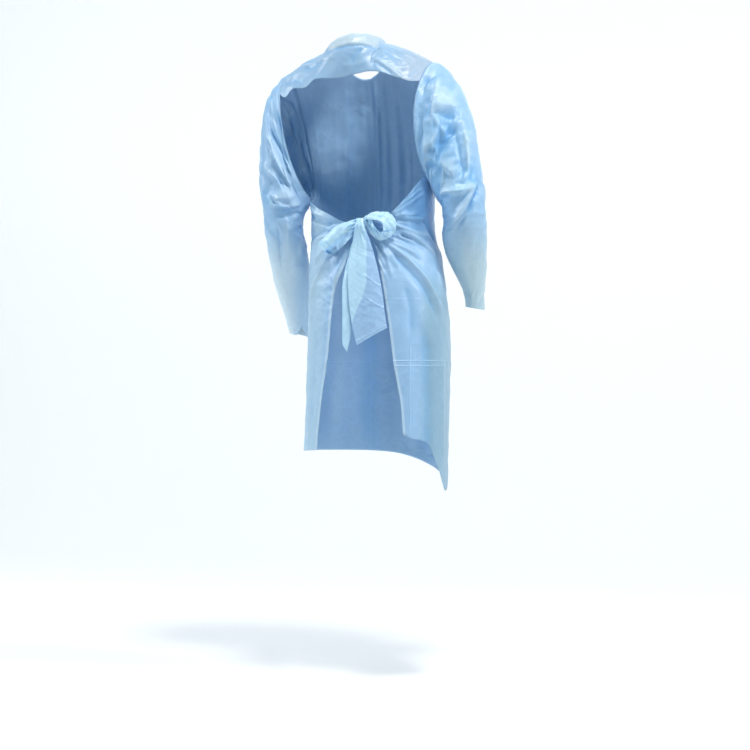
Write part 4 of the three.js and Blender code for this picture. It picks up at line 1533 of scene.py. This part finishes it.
@dataclass
class BowKnot:
    """The tie wrapped once round itself, drawn in at its middle and pleated lengthwise."""

    middle: tuple[float, float, float] = (-36.0, 121.0, -420.0)
    length: float = 24.0
    half_height: float = 13.0
    half_depth: float = 8.0
    tilt: float = -14.0
    pinch: float = 0.3
    film: PlasticFilm = TIE_FILM
    columns: int = 96
    rows: int = 24

    def surface(self, u: Array, v: Array) -> Array:
        """Points round the knot and along it.

        Args:
            u: shares of the way round.
            v: shares of the way along.

        Returns:
            The points, in millimetres.
        """
        turn = 2 * math.pi * (u % 1.0)
        from_middle = 2 * v - 1
        pleats = 0.09 * np.cos(7 * turn + 2.2 * from_middle) + 0.07 * np.cos(11 * turn - 3.0 * from_middle + 1.0)
        size = 1 - self.pinch * (1 - from_middle**2) + pleats
        lengthwise = (self.length / 2) * from_middle + 0.8 * np.cos(3 * turn)
        upward = self.half_height * size * np.sin(turn)
        tilt = math.radians(self.tilt)
        x = self.middle[0] + lengthwise * math.cos(tilt) - upward * math.sin(tilt)
        y = self.middle[1] + self.half_depth * size * np.cos(turn)
        z = self.middle[2] + lengthwise * math.sin(tilt) + upward * math.cos(tilt)
        return stack(x, y, z)

    def build(self) -> None:
        """Lays the knot."""
        maker = SheetMaker("tie_knot")
        maker.lay(self.surface, self.columns, self.rows)
        piece = maker.finish(self.film)
        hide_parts("bow_knot")


# ---------------------------------------------------------------- studio
@dataclass
class Studio:
    """Pale floor that curves up into a wall, soft lamps and the camera. Lengths are in metres."""

    floor_z: float = -1.5
    half_width: float = 9.0
    near_end: float = -5.0
    run: float = 14.0
    wall_start: float = 2.2
    wall_radius: float = 1.6
    distance: float = 4.0
    turned: float = 15.0
    camera_z: float = -0.77
    lens: float = 81.0
    sensor: float = 36.0
    shift: float = 0.0187
    sky: tuple[float, float, float, float] = (0.6, 0.85, 1.0, 1.0)
    sky_strength: float = 0.28

    def build(self) -> None:
        """Sets up the studio."""
        self._backdrop()
        self._lamps()
        self._camera()

    def _backdrop(self) -> None:
        """Floor and wall in one curved sheet."""
        mesh = bmesh.new()
        bmesh.ops.create_grid(mesh, x_segments=8, y_segments=64, size=1.0)
        radius = self.wall_radius
        quarter = radius * math.pi / 2
        for vert in mesh.verts:
            s = (vert.co.y + 1) / 2 * self.run + self.near_end
            turn = min(max(s - self.wall_start, 0.0), quarter) / radius
            y = -min(s, self.wall_start) - radius * math.sin(turn)
            z = radius * (1 - math.cos(turn)) + max(s - self.wall_start - quarter, 0.0)
            vert.co = (vert.co.x * self.half_width, y, self.floor_z + z)
        for face in mesh.faces:
            face.smooth = True
        floor = to_object("studio_floor", mesh, PALE_BACKDROP.material())

    def _lamps(self) -> None:
        """Large soft lamps and an even pale sky."""
        for name, place, aim, size, power, colour in (
            ("key", (-0.9, 1.25, 2.3), (0, 0, -0.5), 0.6, 64.0, (1.0, 0.93, 0.87)),
            ("fill", (2.4, 2.6, 0.5), (0, 0, -0.5), 2.0, 16.0, (0.9, 0.96, 1.0)),
            ("front", (0.6, -1.8, 2.0), (0, 0, -0.5), 1.6, 9.0, (0.95, 0.98, 1.0)),
            ("wall left", (3.4, 0.6, 1.4), (0.6, -4.2, -0.4), 1.6, 88.0, (1.0, 1.0, 1.0)),
            ("wall right", (-3.4, 0.6, 1.4), (-0.6, -4.2, -0.4), 1.6, 88.0, (1.0, 1.0, 1.0)),
        ):
            lamp = bpy.data.lights.new(name, "AREA")
            lamp.shape, lamp.size, lamp.energy, lamp.color = "DISK", size, power, colour
            self._aim(lamp, Vector(place), Vector(aim))
        world = bpy.data.worlds.new("pale_sky")
        bpy.context.scene.world = world
        world.use_nodes = True
        world.node_tree.nodes.clear()
        sky = add_node(world.node_tree, "Background", {"Color": self.sky, "Strength": self.sky_strength})
        add_node(world.node_tree, "OutputWorld", {"Surface": sky})
        bpy.context.scene.view_settings.view_transform = "Standard"

    def _camera(self) -> None:
        """Level camera behind the gown, a little to the wearer's right."""
        camera = bpy.data.cameras.new("camera")
        camera.lens, camera.sensor_width, camera.shift_x = self.lens, self.sensor, self.shift
        turn = math.radians(self.turned)
        place = Vector((-self.distance * math.sin(turn), self.distance * math.cos(turn), self.camera_z))
        bpy.context.scene.camera = self._aim(camera, place, Vector((0, 0, self.camera_z)))

    @staticmethod
    def _aim(data: bpy.types.Light | bpy.types.Camera, place: Vector, target: Vector) -> bpy.types.Object:
        """Puts a lamp or camera at a place and turns it to a target.

        Args:
            data: the lamp or camera.
            place: where it stands, in metres.
            target: what it looks at, in metres.

        Returns:
            Its object.
        """
        holder = bpy.data.objects.new(data.name, data)
        holder.location = place
        holder.rotation_euler = (target - place).to_track_quat("-Z", "Y").to_euler()
        bpy.context.scene.collection.objects.link(holder)
        return holder


# ---------------------------------------------------------------- sizes of this gown
# height, middle's x and y, half width and half depth
BODY_SECTIONS = (
    (-1045, -35, 4, 171, 148),
    (-829, -41, 2, 169, 142),
    (-687, -44, 2, 168, 137),
    (-569, -40, 1, 162, 129),
    (-497, -34, -3, 155, 118),
    (-430, -28, -7, 147, 110),
    (-345, -27, -6, 148, 119),
)
# angle round the body and height of the hem
HEM = (
    (-143, -906), (-136, -916), (-128, -919), (-118, -931), (-112, -966), (-106, -992), (-94, -1038),
    (-70, -1022), (-35, -980), (0, -958), (60, -952), (95, -950), (135, -944),
)
# height and angle of the free back edges
BACK_EDGE = {
    Side.LEFT: ((-944, 135), (-850, 138), (-712, 144), (-620, 147), (-567, 151), (-509, 161), (-424, 176)),
    Side.RIGHT: ((-906, -143), (-827, -146), (-747, -152), (-663, -156), (-543, -161), (-487, -164), (-424, -174)),
}
# share from the knot to the armpit, and height of the upper edges of the wraps
WRAP_TOP = {
    Side.LEFT: ((0, -424), (0.1, -420), (0.25, -412), (0.45, -392), (0.75, -365), (1, -354)),
    Side.RIGHT: ((0, -424), (0.12, -415), (0.31, -400), (0.57, -345), (0.72, -312), (0.86, -320), (1, -330)),
}
# angle and height of the neck opening's rim
NECK_RIM = ((-180, 28), (-135, 25), (-90, 13), (-45, -36), (0, -62), (45, -42), (90, 2), (135, 18), (180, 28))
# evenly spaced along the arm: outer point, inner point, half depths to the front and the back, swing of the back
SLEEVE_SECTIONS = {
    Side.LEFT: (
        ((182, 2, -54), (123.4, -5, -350), 76, 80, 15),
        ((212, 1, -82), (126, 0, -362), 76, 77, 9),
        ((231, 2, -122), (131, 5, -374), 73, 73, 4),
        ((242, 6, -184), (136, 11, -386), 69, 70, 0),
        ((245, 10, -258), (140, 12, -398), 65, 67, 0),
        ((243, 11, -325), (142, 11, -414), 60, 63, 0),
        ((237, 4, -395), (141, 3, -436), 55, 58, 0),
        ((235, -15, -455), (140, -17, -468), 51, 53, 0),
        ((235, -50, -520), (144, -54, -520), 48, 49, 0),
        ((229, -88, -585), (151, -92, -582), 45, 45, 0),
        ((221, -117, -638), (159, -121, -636), 42, 41, 0),
        ((216, -132, -666), (165, -140, -680), 39, 37, 0),
    ),
    Side.RIGHT: (
        ((-178, 2, -39), (-177.4, -5, -326), 76, 86, 30),
        ((-209, 1, -55), (-180, 0, -338), 77, 83, 19),
        ((-234, 2, -92), (-184, 6, -349), 74, 78, 10),
        ((-258, 6, -144), (-190, 14, -360), 71, 74, 4),
        ((-280, 12, -218), (-196, 17, -372), 67, 70, 0),
        ((-294, 18, -300), (-202, 20, -388), 63, 66, 0),
        ((-303, 22, -372), (-203, 18, -410), 58, 61, 0),
        ((-305, 12, -430), (-200, 8, -438), 54, 56, 0),
        ((-298, -20, -488), (-203, -20, -484), 50, 51, 0),
        ((-288, -57, -534), (-214, -52, -526), 45, 45, 0),
        ((-279, -90, -577), (-230, -82, -568), 39, 38, 0),
        ((-274, -116, -614), (-232, -108, -607), 36, 35, 0),
    ),
}
# lower edge of the yoke between its corners, from the wearer's left to the right
YOKE_EDGE = (
    (165, 74, -117), (144, 80, -99), (110, 88, -98), (88, 89, -81), (50, 93, -81), (13, 95, -80),
    (-20, 96, -72), (-54, 96, -69), (-87, 94, -76), (-112, 90, -86), (-138, 84, -94),
)
# evenly spaced along each strip: its two edges, and how far its middle stands out
BOW_STRIPS = {
    "bow_loop_left": (
        ((-23.8, 121, -412), (-23.8, 124, -428), 2),
        ((-8, 127, -416), (-9, 131, -438), 5),
        ((24, 128, -427), (20, 134, -459), 6),
        ((54, 123, -451), (42, 130, -475), 4),
        ((72, 112, -464), (53, 121, -483), 2),
        ((70, 106, -470), (42, 113, -491), -1),
        ((56, 105, -466), (26, 111, -483), -2),
        ((24, 110, -447), (2, 114, -463), -2),
        ((-5, 114, -431), (-16, 117, -444), -1),
        ((-23.8, 116, -418), (-23.8, 117, -432), 0),
    ),
    "bow_loop_right": (
        ((-41, 116, -405), (-43, 126, -414), 0),
        ((-58, 112, -399), (-56, 133, -415), 2),
        ((-78, 111, -396), (-72, 136, -417), 2),
        ((-98, 109, -399), (-85, 138, -421), 3),
        ((-110, 108, -415), (-89, 137, -432), 2),
        ((-111, 107, -436), (-87, 135, -443), 0),
        ((-97, 108, -454), (-78, 134, -443), -1),
        ((-78, 113, -461), (-71, 138, -434), -2),
        ((-60, 118, -455), (-65, 138, -425), -2),
        ((-44, 120, -437), (-55, 134, -411), 0),
    ),
    "tie_tail_left": (
        ((-22, 119, -436.6), (-34, 119, -438), 0),
        ((-8, 119, -473), (-27, 123, -476), 3),
        ((5, 120, -522), (-13, 125, -524), 3),
        ((12, 122, -572), (-8, 127, -575), 4),
        ((11, 124, -632), (-10, 129, -632), 3),
        ((11, 125, -685), (-10, 130, -678), 2),
        ((10, 126, -701), (-2, 131, -717), 0),
    ),
    "tie_tail_right": (
        ((-29, 131, -410), (-40, 131, -411), 1),
        ((-24, 137, -424), (-44, 137, -427), 3),
        ((-19, 133, -446), (-50, 132, -446), 5),
        ((-13, 131, -477), (-60, 129, -475), 6),
        ((-5, 134, -525), (-74, 132, -524), 8),
        ((-7, 136, -589), (-86, 134, -581), 9),
        ((-15, 138, -650), (-92, 136, -626), 7),
        ((-27, 139, -702), (-98, 138, -663), 4),
    ),
}

# the wide tail lies double on its left hand, and keeps a hem line and two creases
WIDE_TAIL_DOUBLED = (1.1, 1.05, 0.86, 0.68, 0.55, 0.08, -0.5)
WIDE_TAIL_PRESSED = ((-4.0, 280.0, 66.0, 279.0), (36.0, 178.0, 60.0, 196.0), (34.0, 214.0, 62.0, 240.0))


def fold_rows(rows: Sequence[tuple], unit: float = 1) -> list[Fold]:
    """Folds from the rows of a table, whose places are given in parts of a unit."""
    return [Fold(tuple((a / unit, b / unit) for a, b in zip(path[::2], path[1::2])), *rest) for path, *rest in rows]


def mirrored(folds: Sequence[Fold]) -> list[Fold]:
    """The same folds on the front of a sleeve, a little weaker.

    Args:
        folds: folds of the other sleeve's back.

    Returns:
        The folds.
    """
    return [
        replace(
            fold, path=tuple((1 - a, b) for a, b in fold.path), rise=0.8 * fold.rise,
            half=fold.other or fold.half, other=fold.half,
        )
        for fold in folds
    ]


# Each fold has the places of its path, one after the other, then its rise, half, other, crisp and ends. Places on
# the body are angle round it and height, and on the sleeves and the yoke thousandths across and along.
BODY_FOLDS = (
    # upper edge of the right wrap, drawn towards the knot
    ((-150, -392, -136.4, -368, -118, -332), 4.5, 3.5, 4.5, 1.3),
    ((-149, -399, -134, -373, -113, -335), 4.2, 3.5, 4.5, 1.3),
    ((-147, -404, -132.4, -382, -110, -346), 4, 4, 5, 1.3),
    ((-138, -400, -125.6, -400, -114, -393), 4.5, 5, 3.5, 1.3),
    ((-146.6, -407, -137, -411, -124, -413), -4, 4, 4, 1.4),
    ((-136, -408, -124.2, -409, -106, -409), 5, 5, 3.5, 1.3),
    ((-112, -407, -104.2, -427, -90, -466), -6, 7, 6, 1.5),
    ((-144.8, -417, -128.2, -429, -110, -442), -5, 4, 4, 1.4),
    ((-147, -422, -128.4, -435, -110.2, -448, -98, -456), 8, 6, 5, 1.25),
    ((-140, -436, -120.6, -456, -110.8, -474, -100.2, -496, -92, -515), 7, 9, 4.5, 1.25),
    ((-138.6, -443, -121, -463, -108, -487), -5, 4, 5, 1.4),
    ((-141, -449, -129.6, -459, -120, -470), 4.5, 4, 4, 1.3),
    ((-148, -450, -135.4, -459, -126.6, -474), -4, 4, 4, 1.4),
    ((-148, -464, -131.2, -483, -117, -506), 6, 5, 4, 1.25),
    # the long pull from the knot to the wearer's right hip
    ((-152, -468, -137, -496, -124.2, -532, -117.2, -560, -108.8, -600, -98, -680), 9, 5.5, 5, 1.2, (0.1, 0.5)),
    ((-149, -486, -132.2, -535, -122.6, -566, -115.6, -603, -106, -665), -5.5, 6, 9, 1.5),
    ((-150, -488, -146, -508, -141, -528), 4.5, 4, 5, 1.3),
    ((-160, -462, -154, -500, -150, -560), 4, 6, 6, 1.4),
    ((-100, -520, -104, -600, -110, -690), 4, 10, 8, 1.5),
    ((-140, -560, -136, -620, -138, -700), -3.5, 9, 9, 1.6),
    # left wrap
    ((104, -372, 131, -398, 148, -411), 5, 6, 4, 1.3),
    ((100, -386, 126, -409, 150, -424), -4.5, 5, 5, 1.4),
    ((108, -400, 135.2, -427, 156, -446), 5, 6, 4, 1.3),
    ((146, -412, 128, -437, 96, -452), -4.5, 5, 6, 1.5),
    ((116, -454, 139.2, -446, 166, -434), 5, 6, 4, 1.3),
    ((119, -508, 133.4, -479, 156, -457), 5.5, 5, 6, 1.3),
    ((162, -462, 142.6, -487, 128, -537, 121, -590, 116, -680), 9, 6, 5, 1.2, (0.15, 0.5)),
    ((158, -476, 139, -500, 124.4, -540, 117.4, -590), -4.5, 5, 6, 1.5),
    ((172, -447, 156, -495, 149, -539), -5, 6, 6, 1.5),
    ((168, -450, 161, -481, 152, -530, 146, -600), 5.5, 5, 6, 1.3),
    # long soft folds down the skirt
    ((-64, -470, -66, -720, -60, -1060), 6, 20, 20, 2),
    ((-38, -520, -34, -760, -36, -1060), -6, 24, 24, 2),
    ((-8, -440, -10, -700, -5, -1060), 6, 22, 22, 2),
    ((22, -500, 24, -760, 18, -1060), -6, 24, 24, 2),
    ((52, -460, 50, -700, 55, -1060), 6, 20, 20, 2),
    ((-124, -640, -122, -800, -118, -1060), -5, 14, 14, 2),
    ((-142, -700, -138, -800, -134, -930), 2.5, 10, 14, 2),
    ((-104, -720, -102, -860, -99, -1010), 3, 8, 12, 1.8),
    ((128, -640, 126, -800, 124, -950), -2.5, 9, 9, 2),
    # pulls across the front of the waist
    ((88, -446, 52, -440, 18, -452), -3, 7, 7, 1.6),
    ((80, -462, 48, -464, 8, -486), 3, 6, 9, 1.5),
    ((-84, -440, -50, -448, -12, -442), 3, 6, 9, 1.5),
    ((-86, -456, -52, -470, -16, -468), -3, 7, 7, 1.6),
    ((-88, -470, -64, -520, -50, -610), 4, 8, 12, 1.5),
    ((86, -478, 66, -530, 56, -620), 4, 8, 12, 1.5),
)
RIGHT_SLEEVE_FOLDS = (
    # drapes that fan out over the upper arm from the yoke's corner: a broad upper side and a steep lower one
    ((105, 0, 60, 35, 15, 70), 5, 9, 5, 1.3, (0.05, 0.35)),
    ((139, 24, 105, 66, 47, 106), -4.5, 5, 6, 1.4),
    ((160, 45, 152, 98, 107, 128), 7, 12, 5, 1.25),
    ((183, 92, 169, 140, 112, 178, 83, 186), 7.5, 11, 5, 1.25),
    ((203, 112, 160, 192, 103, 268), 13, 20, 6, 1.25, (0.12, 0.3)),
    ((207, 126, 176, 212, 128, 285), -6, 4, 7, 1.4),
    ((209, 112, 218, 186, 214, 264), 7, 8, 4, 1.3, (0.12, 0.3)),
    ((209, 242, 181, 280, 149, 300), -6, 7, 7, 1.5),
    ((225, 206, 268, 177, 305, 105, 337, 42), 10, 5, 14, 1.25),
    ((266, 200, 246, 243, 213, 286), -6, 6, 6, 1.4),
    ((276, 164, 284, 206, 298, 238), 5, 4, 5, 1.3),
    ((345, 78, 315, 184, 310, 306), 6.5, 8, 5, 1.3),
    ((361, 94, 343, 194, 325, 232), -5, 5, 5, 1.4),
    ((379, 50, 368, 164, 325, 290), 6, 6, 6, 1.3),
    ((300, 250, 276, 335, 241, 424), 9.5, 15, 4.5, 1.25),
    ((295, 308, 321, 348, 388, 358), 5.5, 4, 9, 1.3),
    ((90, 210, 112, 298, 128, 380, 156, 470), 6, 20, 10, 1.5, (0.3, 0.3)),
    ((30, 190, 52, 290, 50, 400), -1.6, 14, 12, 2, (0.3, 0.3)),
    ((50, 110, 18, 230, 22, 380), 4.5, 9, 9, 1.5, (0.3, 0.3)),
    ((123, 322, 142, 390, 161, 460), 5.5, 7, 5, 1.3),
    ((170, 290, 188, 360, 196, 450), -5, 6, 8, 1.5),
    ((397, 350, 258, 466, 161, 494, 68, 488), 12, 20, 5, 1.3),
    ((68, 492, 128, 520, 223, 574), -6, 4, 5, 1.4),
    ((204, 4, 253, 38, 321, 12), 4.5, 6, 6, 1.3),
    ((263, 86, 294, 58, 326, 22), -4.5, 5, 7, 1.4),
    ((250, 70, 232, 120, 238, 165), 4, 6, 5, 1.3),
    ((80, 470, 210, 550, 340, 630), 10, 3.5, 17, 1.4, (0.3, 0.35)),
    ((110, 520, 210, 585, 310, 655), -4.5, 9, 4, 1.5, (0.3, 0.35)),
    # crumpled film at the armpit
    ((330, 100, 380, 50, 430, 20), 5, 4, 6, 1.3),
    ((360, 140, 400, 100, 450, 90), -5, 4, 5, 1.3),
    ((350, 190, 410, 150, 470, 150), 5, 4, 6, 1.3),
)
LEFT_SLEEVE_FOLDS = (
    ((131, 180, 195, 160, 260, 118, 315, 44), -7.5, 6, 12, 1.25, (0.2, 0.1)),
    ((159, 108, 226, 90, 278, 62), 5, 5, 12, 1.4),
    ((100, 60, 170, 52, 250, 16), -4, 8, 8, 1.5),
    ((172, 200, 218, 203, 269, 208, 321, 188, 353, 172), 9, 5, 13, 1.25),
    ((278, 126, 313, 112, 343, 88), -5.5, 6, 5, 1.3),
    ((262, 100, 305, 80, 340, 50), 5, 4, 8, 1.3),
    ((297, 156, 327, 178, 360, 168), 5.5, 4, 7, 1.3),
    ((282, 306, 315, 260, 352, 194), -7, 8, 8, 1.4),
    ((171, 340, 239, 322, 286, 284), 7, 5, 13, 1.3),
    ((90, 300, 120, 380, 170, 440), 6, 10, 7, 1.4),
    ((50, 180, 70, 290, 90, 420), -5, 8, 8, 1.6),
    ((214, 428, 284, 392, 343, 298, 397, 122), 8, 5, 14, 1.3),
    ((240, 450, 310, 410, 370, 310), -5, 5, 5, 1.4),
    ((349, 170, 383, 164, 414, 194), -5, 6, 5, 1.3),
    ((310, 66, 326, 66, 346, 70), 4, 4, 4, 1.3),
    ((170, 510, 283, 436, 364, 352, 430, 150), 12.5, 4, 18, 1.3, (0.3, 0.2)),
    ((200, 535, 350, 440, 460, 260), -5.1, 9, 4, 1.5, (0.35, 0.2)),
    ((458, 490, 420, 630, 375, 710), 5.5, 6, 8, 1.4),
    ((480, 440, 450, 550, 420, 620), -4.5, 6, 6, 1.5),
    ((340, 460, 330, 560, 300, 680), 4, 6, 9, 1.4),
    ((260, 540, 235, 640, 220, 760), -3.5, 6, 9, 1.5),
)
YOKE_FOLDS = (
    # creases that spread from the end of the tear
    ((653, 193, 768, 93, 885, 10), 3.4, 5, 3, 1.2, (0.1, 0.2)),
    ((653, 165, 745, 60, 800, 10), -2.4, 3, 4, 1.3, (0.1, 0.3)),
    ((653, 193, 726, 200, 808, 253), 2.8, 4, 3, 1.2, (0.1, 0.3)),
    ((650, 193, 682, 100, 708, 10), 2.6, 3, 4, 1.2, (0.1, 0.2)),
    ((700, 420, 780, 360, 860, 380), -2.2, 4, 5, 1.4),
    ((853, 393, 887, 280, 911, 140), 2.4, 3, 3, 1.2),
    ((842, 150, 887, 280, 925, 450), 2.2, 3, 3, 1.2),
    ((900, 60, 935, 220, 965, 300), -2.2, 3, 4, 1.3),
    ((820, 520, 880, 560, 940, 500), 2, 4, 4, 1.3),
    # the collar's fold, and soft pulls over the shoulder blades
    ((360, 505, 440, 452, 520, 462, 600, 434, 660, 395), -2.6, 2.5, 4, 1.3, (0.1, 0.1)),
    ((360, 545, 440, 500, 520, 510, 600, 480, 660, 445), 2, 4, 2.5, 1.3, (0.1, 0.1)),
    ((166, 500, 260, 380, 347, 307, 500, 267), 3, 8, 4, 1.4),
    ((200, 420, 300, 300, 420, 220), -2.6, 4, 7, 1.5),
    ((32, 487, 110, 340, 197, 247, 355, 67), 3, 7, 4, 1.4),
    ((60, 360, 140, 200, 250, 60), -2.8, 4, 7, 1.4),
    ((460, 400, 400, 250, 360, 80), 2.2, 5, 7, 1.4),
    ((580, 400, 540, 240, 560, 50), -2, 6, 5, 1.5),
    ((480, 160, 560, 120, 640, 150), 1.8, 4, 5, 1.4),
    ((160, 640, 220, 520, 300, 480), -2, 5, 5, 1.5),
    ((80, 200, 130, 110, 160, 20), 2.4, 4, 4, 1.3),
)


def body_folds() -> FoldedSheet:
    """All the folds of the body panel.

    Returns:
        The folds, over angle round the body and height.
    """
    sheet = FoldedSheet(fold_rows(BODY_FOLDS), BODY_DEGREE, 1.0)
    right_hub, left_hub = (-174, -424), (178, -424)
    sheet.fan(3, 18, right_hub, (-0.1, -1.3), (14, 34), (50, 130), 2.8, 2.6)
    sheet.fan(4, 7, right_hub, (0.1, 0.62), (30, 50), (50, 90), 2.4, 2.6)
    sheet.fan(5, 16, left_hub, (math.pi - 0.1, math.pi + 1.3), (14, 34), (45, 110), 2.4, 2.6)
    sheet.scatter(11, 150, (-176, 176), (-1040, -440), (20, 80), 1.3, 4.0)
    return sheet


def sleeve_folds(side: Side) -> FoldedSheet:
    """All the folds of one sleeve.

    Args:
        side: the wearer's side.

    Returns:
        The folds, over shares round the arm and along it.
    """
    left, right = fold_rows(LEFT_SLEEVE_FOLDS, 1000), fold_rows(RIGHT_SLEEVE_FOLDS, 1000)
    folds, seed = (left + mirrored(right), 21) if side is Side.LEFT else (right + mirrored(left), 31)
    sheet = FoldedSheet(folds, SLEEVE_GIRTH, SLEEVE_LENGTH, wraps=True)
    sheet.scatter(seed, 120, (0, 1), (0.02, 0.66), (18, 60), 1.8, 3.6)
    sheet.scatter(seed + 1, 60, (0, 1), (0.62, 0.98), (18, 60), 1.3, 4.0, 0.9, 1.6)
    return sheet


def yoke_folds() -> FoldedSheet:
    """All the folds of the yoke.

    Returns:
        The folds, over shares across it and up it.
    """
    sheet = FoldedSheet(fold_rows(YOKE_FOLDS, 1000), YOKE_WIDTH, YOKE_HEIGHT)
    sheet.scatter(41, 60, (0.03, 0.97), (0.04, 0.8), (12, 44), 0.9, 2.4)
    return sheet


def strip_folds(seed: int, width: float, length: float, rise: float, count: int) -> FoldedSheet:
    """Creases of a loop: a few along it from both ends, and short ones over it.

    Args:
        seed: first of three seeds.
        width: width of the strip, in millimetres.
        length: its length, in millimetres.
        rise: usual height of its creases, in millimetres.
        count: number of short creases.

    Returns:
        The creases, over shares across it and along it.
    """
    sheet = FoldedSheet((), width, length)
    sheet.fan(seed, 5, (0.5, -0.06), (0.9, 2.2), (6, 14), (30, 70), rise, 2.6)
    sheet.fan(seed + 1, 5, (0.5, 1.06), (-0.9, -2.2), (6, 14), (30, 70), rise, 2.6)
    sheet.scatter(seed + 2, count, (-0.1, 1.1), (0.05, 0.95), (8, 26), 0.8 * rise, 2.4)
    return sheet


def tail_folds(seed: int, width: float, length: float) -> FoldedSheet:
    """Creases of a tail: long ones from the knot, and a few short ones.

    Args:
        seed: first of two seeds.
        width: width of the tail, in millimetres.
        length: its length, in millimetres.

    Returns:
        The creases, over shares across it and along it.
    """
    sheet = FoldedSheet((), width, length)
    sheet.fan(seed, 9, (0.5, -0.05), (1.3, 1.84), (6, 20), (60, 200), 2.2, 2.8)
    sheet.scatter(seed + 1, 24, (0.05, 0.95), (0.05, 0.95), (10, 34), 1.0, 2.2)
    return sheet


def main() -> None:
    """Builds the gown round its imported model, and its studio."""
    logging.basicConfig(level=logging.INFO, format="%(name)s: %(message)s")
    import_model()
    sleeves = {
        side: SleeveForm(
            side, tuple(SleeveSection(*row) for row in SLEEVE_SECTIONS[side]), sleeve_folds(side),
            Crumple(7 + side.value, 2.6, 95.0, 18.0, 9),
        )
        for side in Side
    }
    form = BodyForm(
        tuple(BodySection(*row) for row in BODY_SECTIONS), HEM, BACK_EDGE, WRAP_TOP, NECK_RIM, sleeves, body_folds(),
        Crumple(5, 1.1, 60.0, 13.0, 9),
    )
    BodyPanel(form).build()
    BackYoke(form, YOKE_EDGE, yoke_folds(), Crumple(12, 0.5, 34.0, 10.0)).build()
    Sleeve(sleeves[Side.LEFT], 0.58, "#dcecf2", 0.0, (0.333, 0.085, 42.0)).build()
    Sleeve(sleeves[Side.RIGHT], 0.60, "#c2d8de", 1.0).build()
    for node, folds, rise, flat, columns, rows in (
        ("bow_loop_left", strip_folds(51, 26, 210, 2.4, 30), 0.8, (0.024, 0.255), 30, 210),
        ("bow_loop_right", strip_folds(61, 26, 190, 3.0, 36), 1.0, (0.028, 0.16), 32, 200),
        ("tie_tail_left", tail_folds(71, 20, 280), 0.5, (0.022, 0.28), 20, 180),
        ("tie_tail_right", tail_folds(81, 62, 290), 0.5, (0.075, 0.28), 52, 200),
    ):
        strip = tuple(StripRow(*row) for row in BOW_STRIPS[node])
        crumple = Crumple(90 + len(node) + rows, rise, 30.0, 9.0, 7)
        pressing = (WIDE_TAIL_DOUBLED, WIDE_TAIL_PRESSED) if node == "tie_tail_right" else ()
        BowStrip(node, strip, folds, crumple, flat, columns, rows, *pressing).build()
    BowKnot().build()
    Studio().build()


if __name__ == "__main__":
    main()
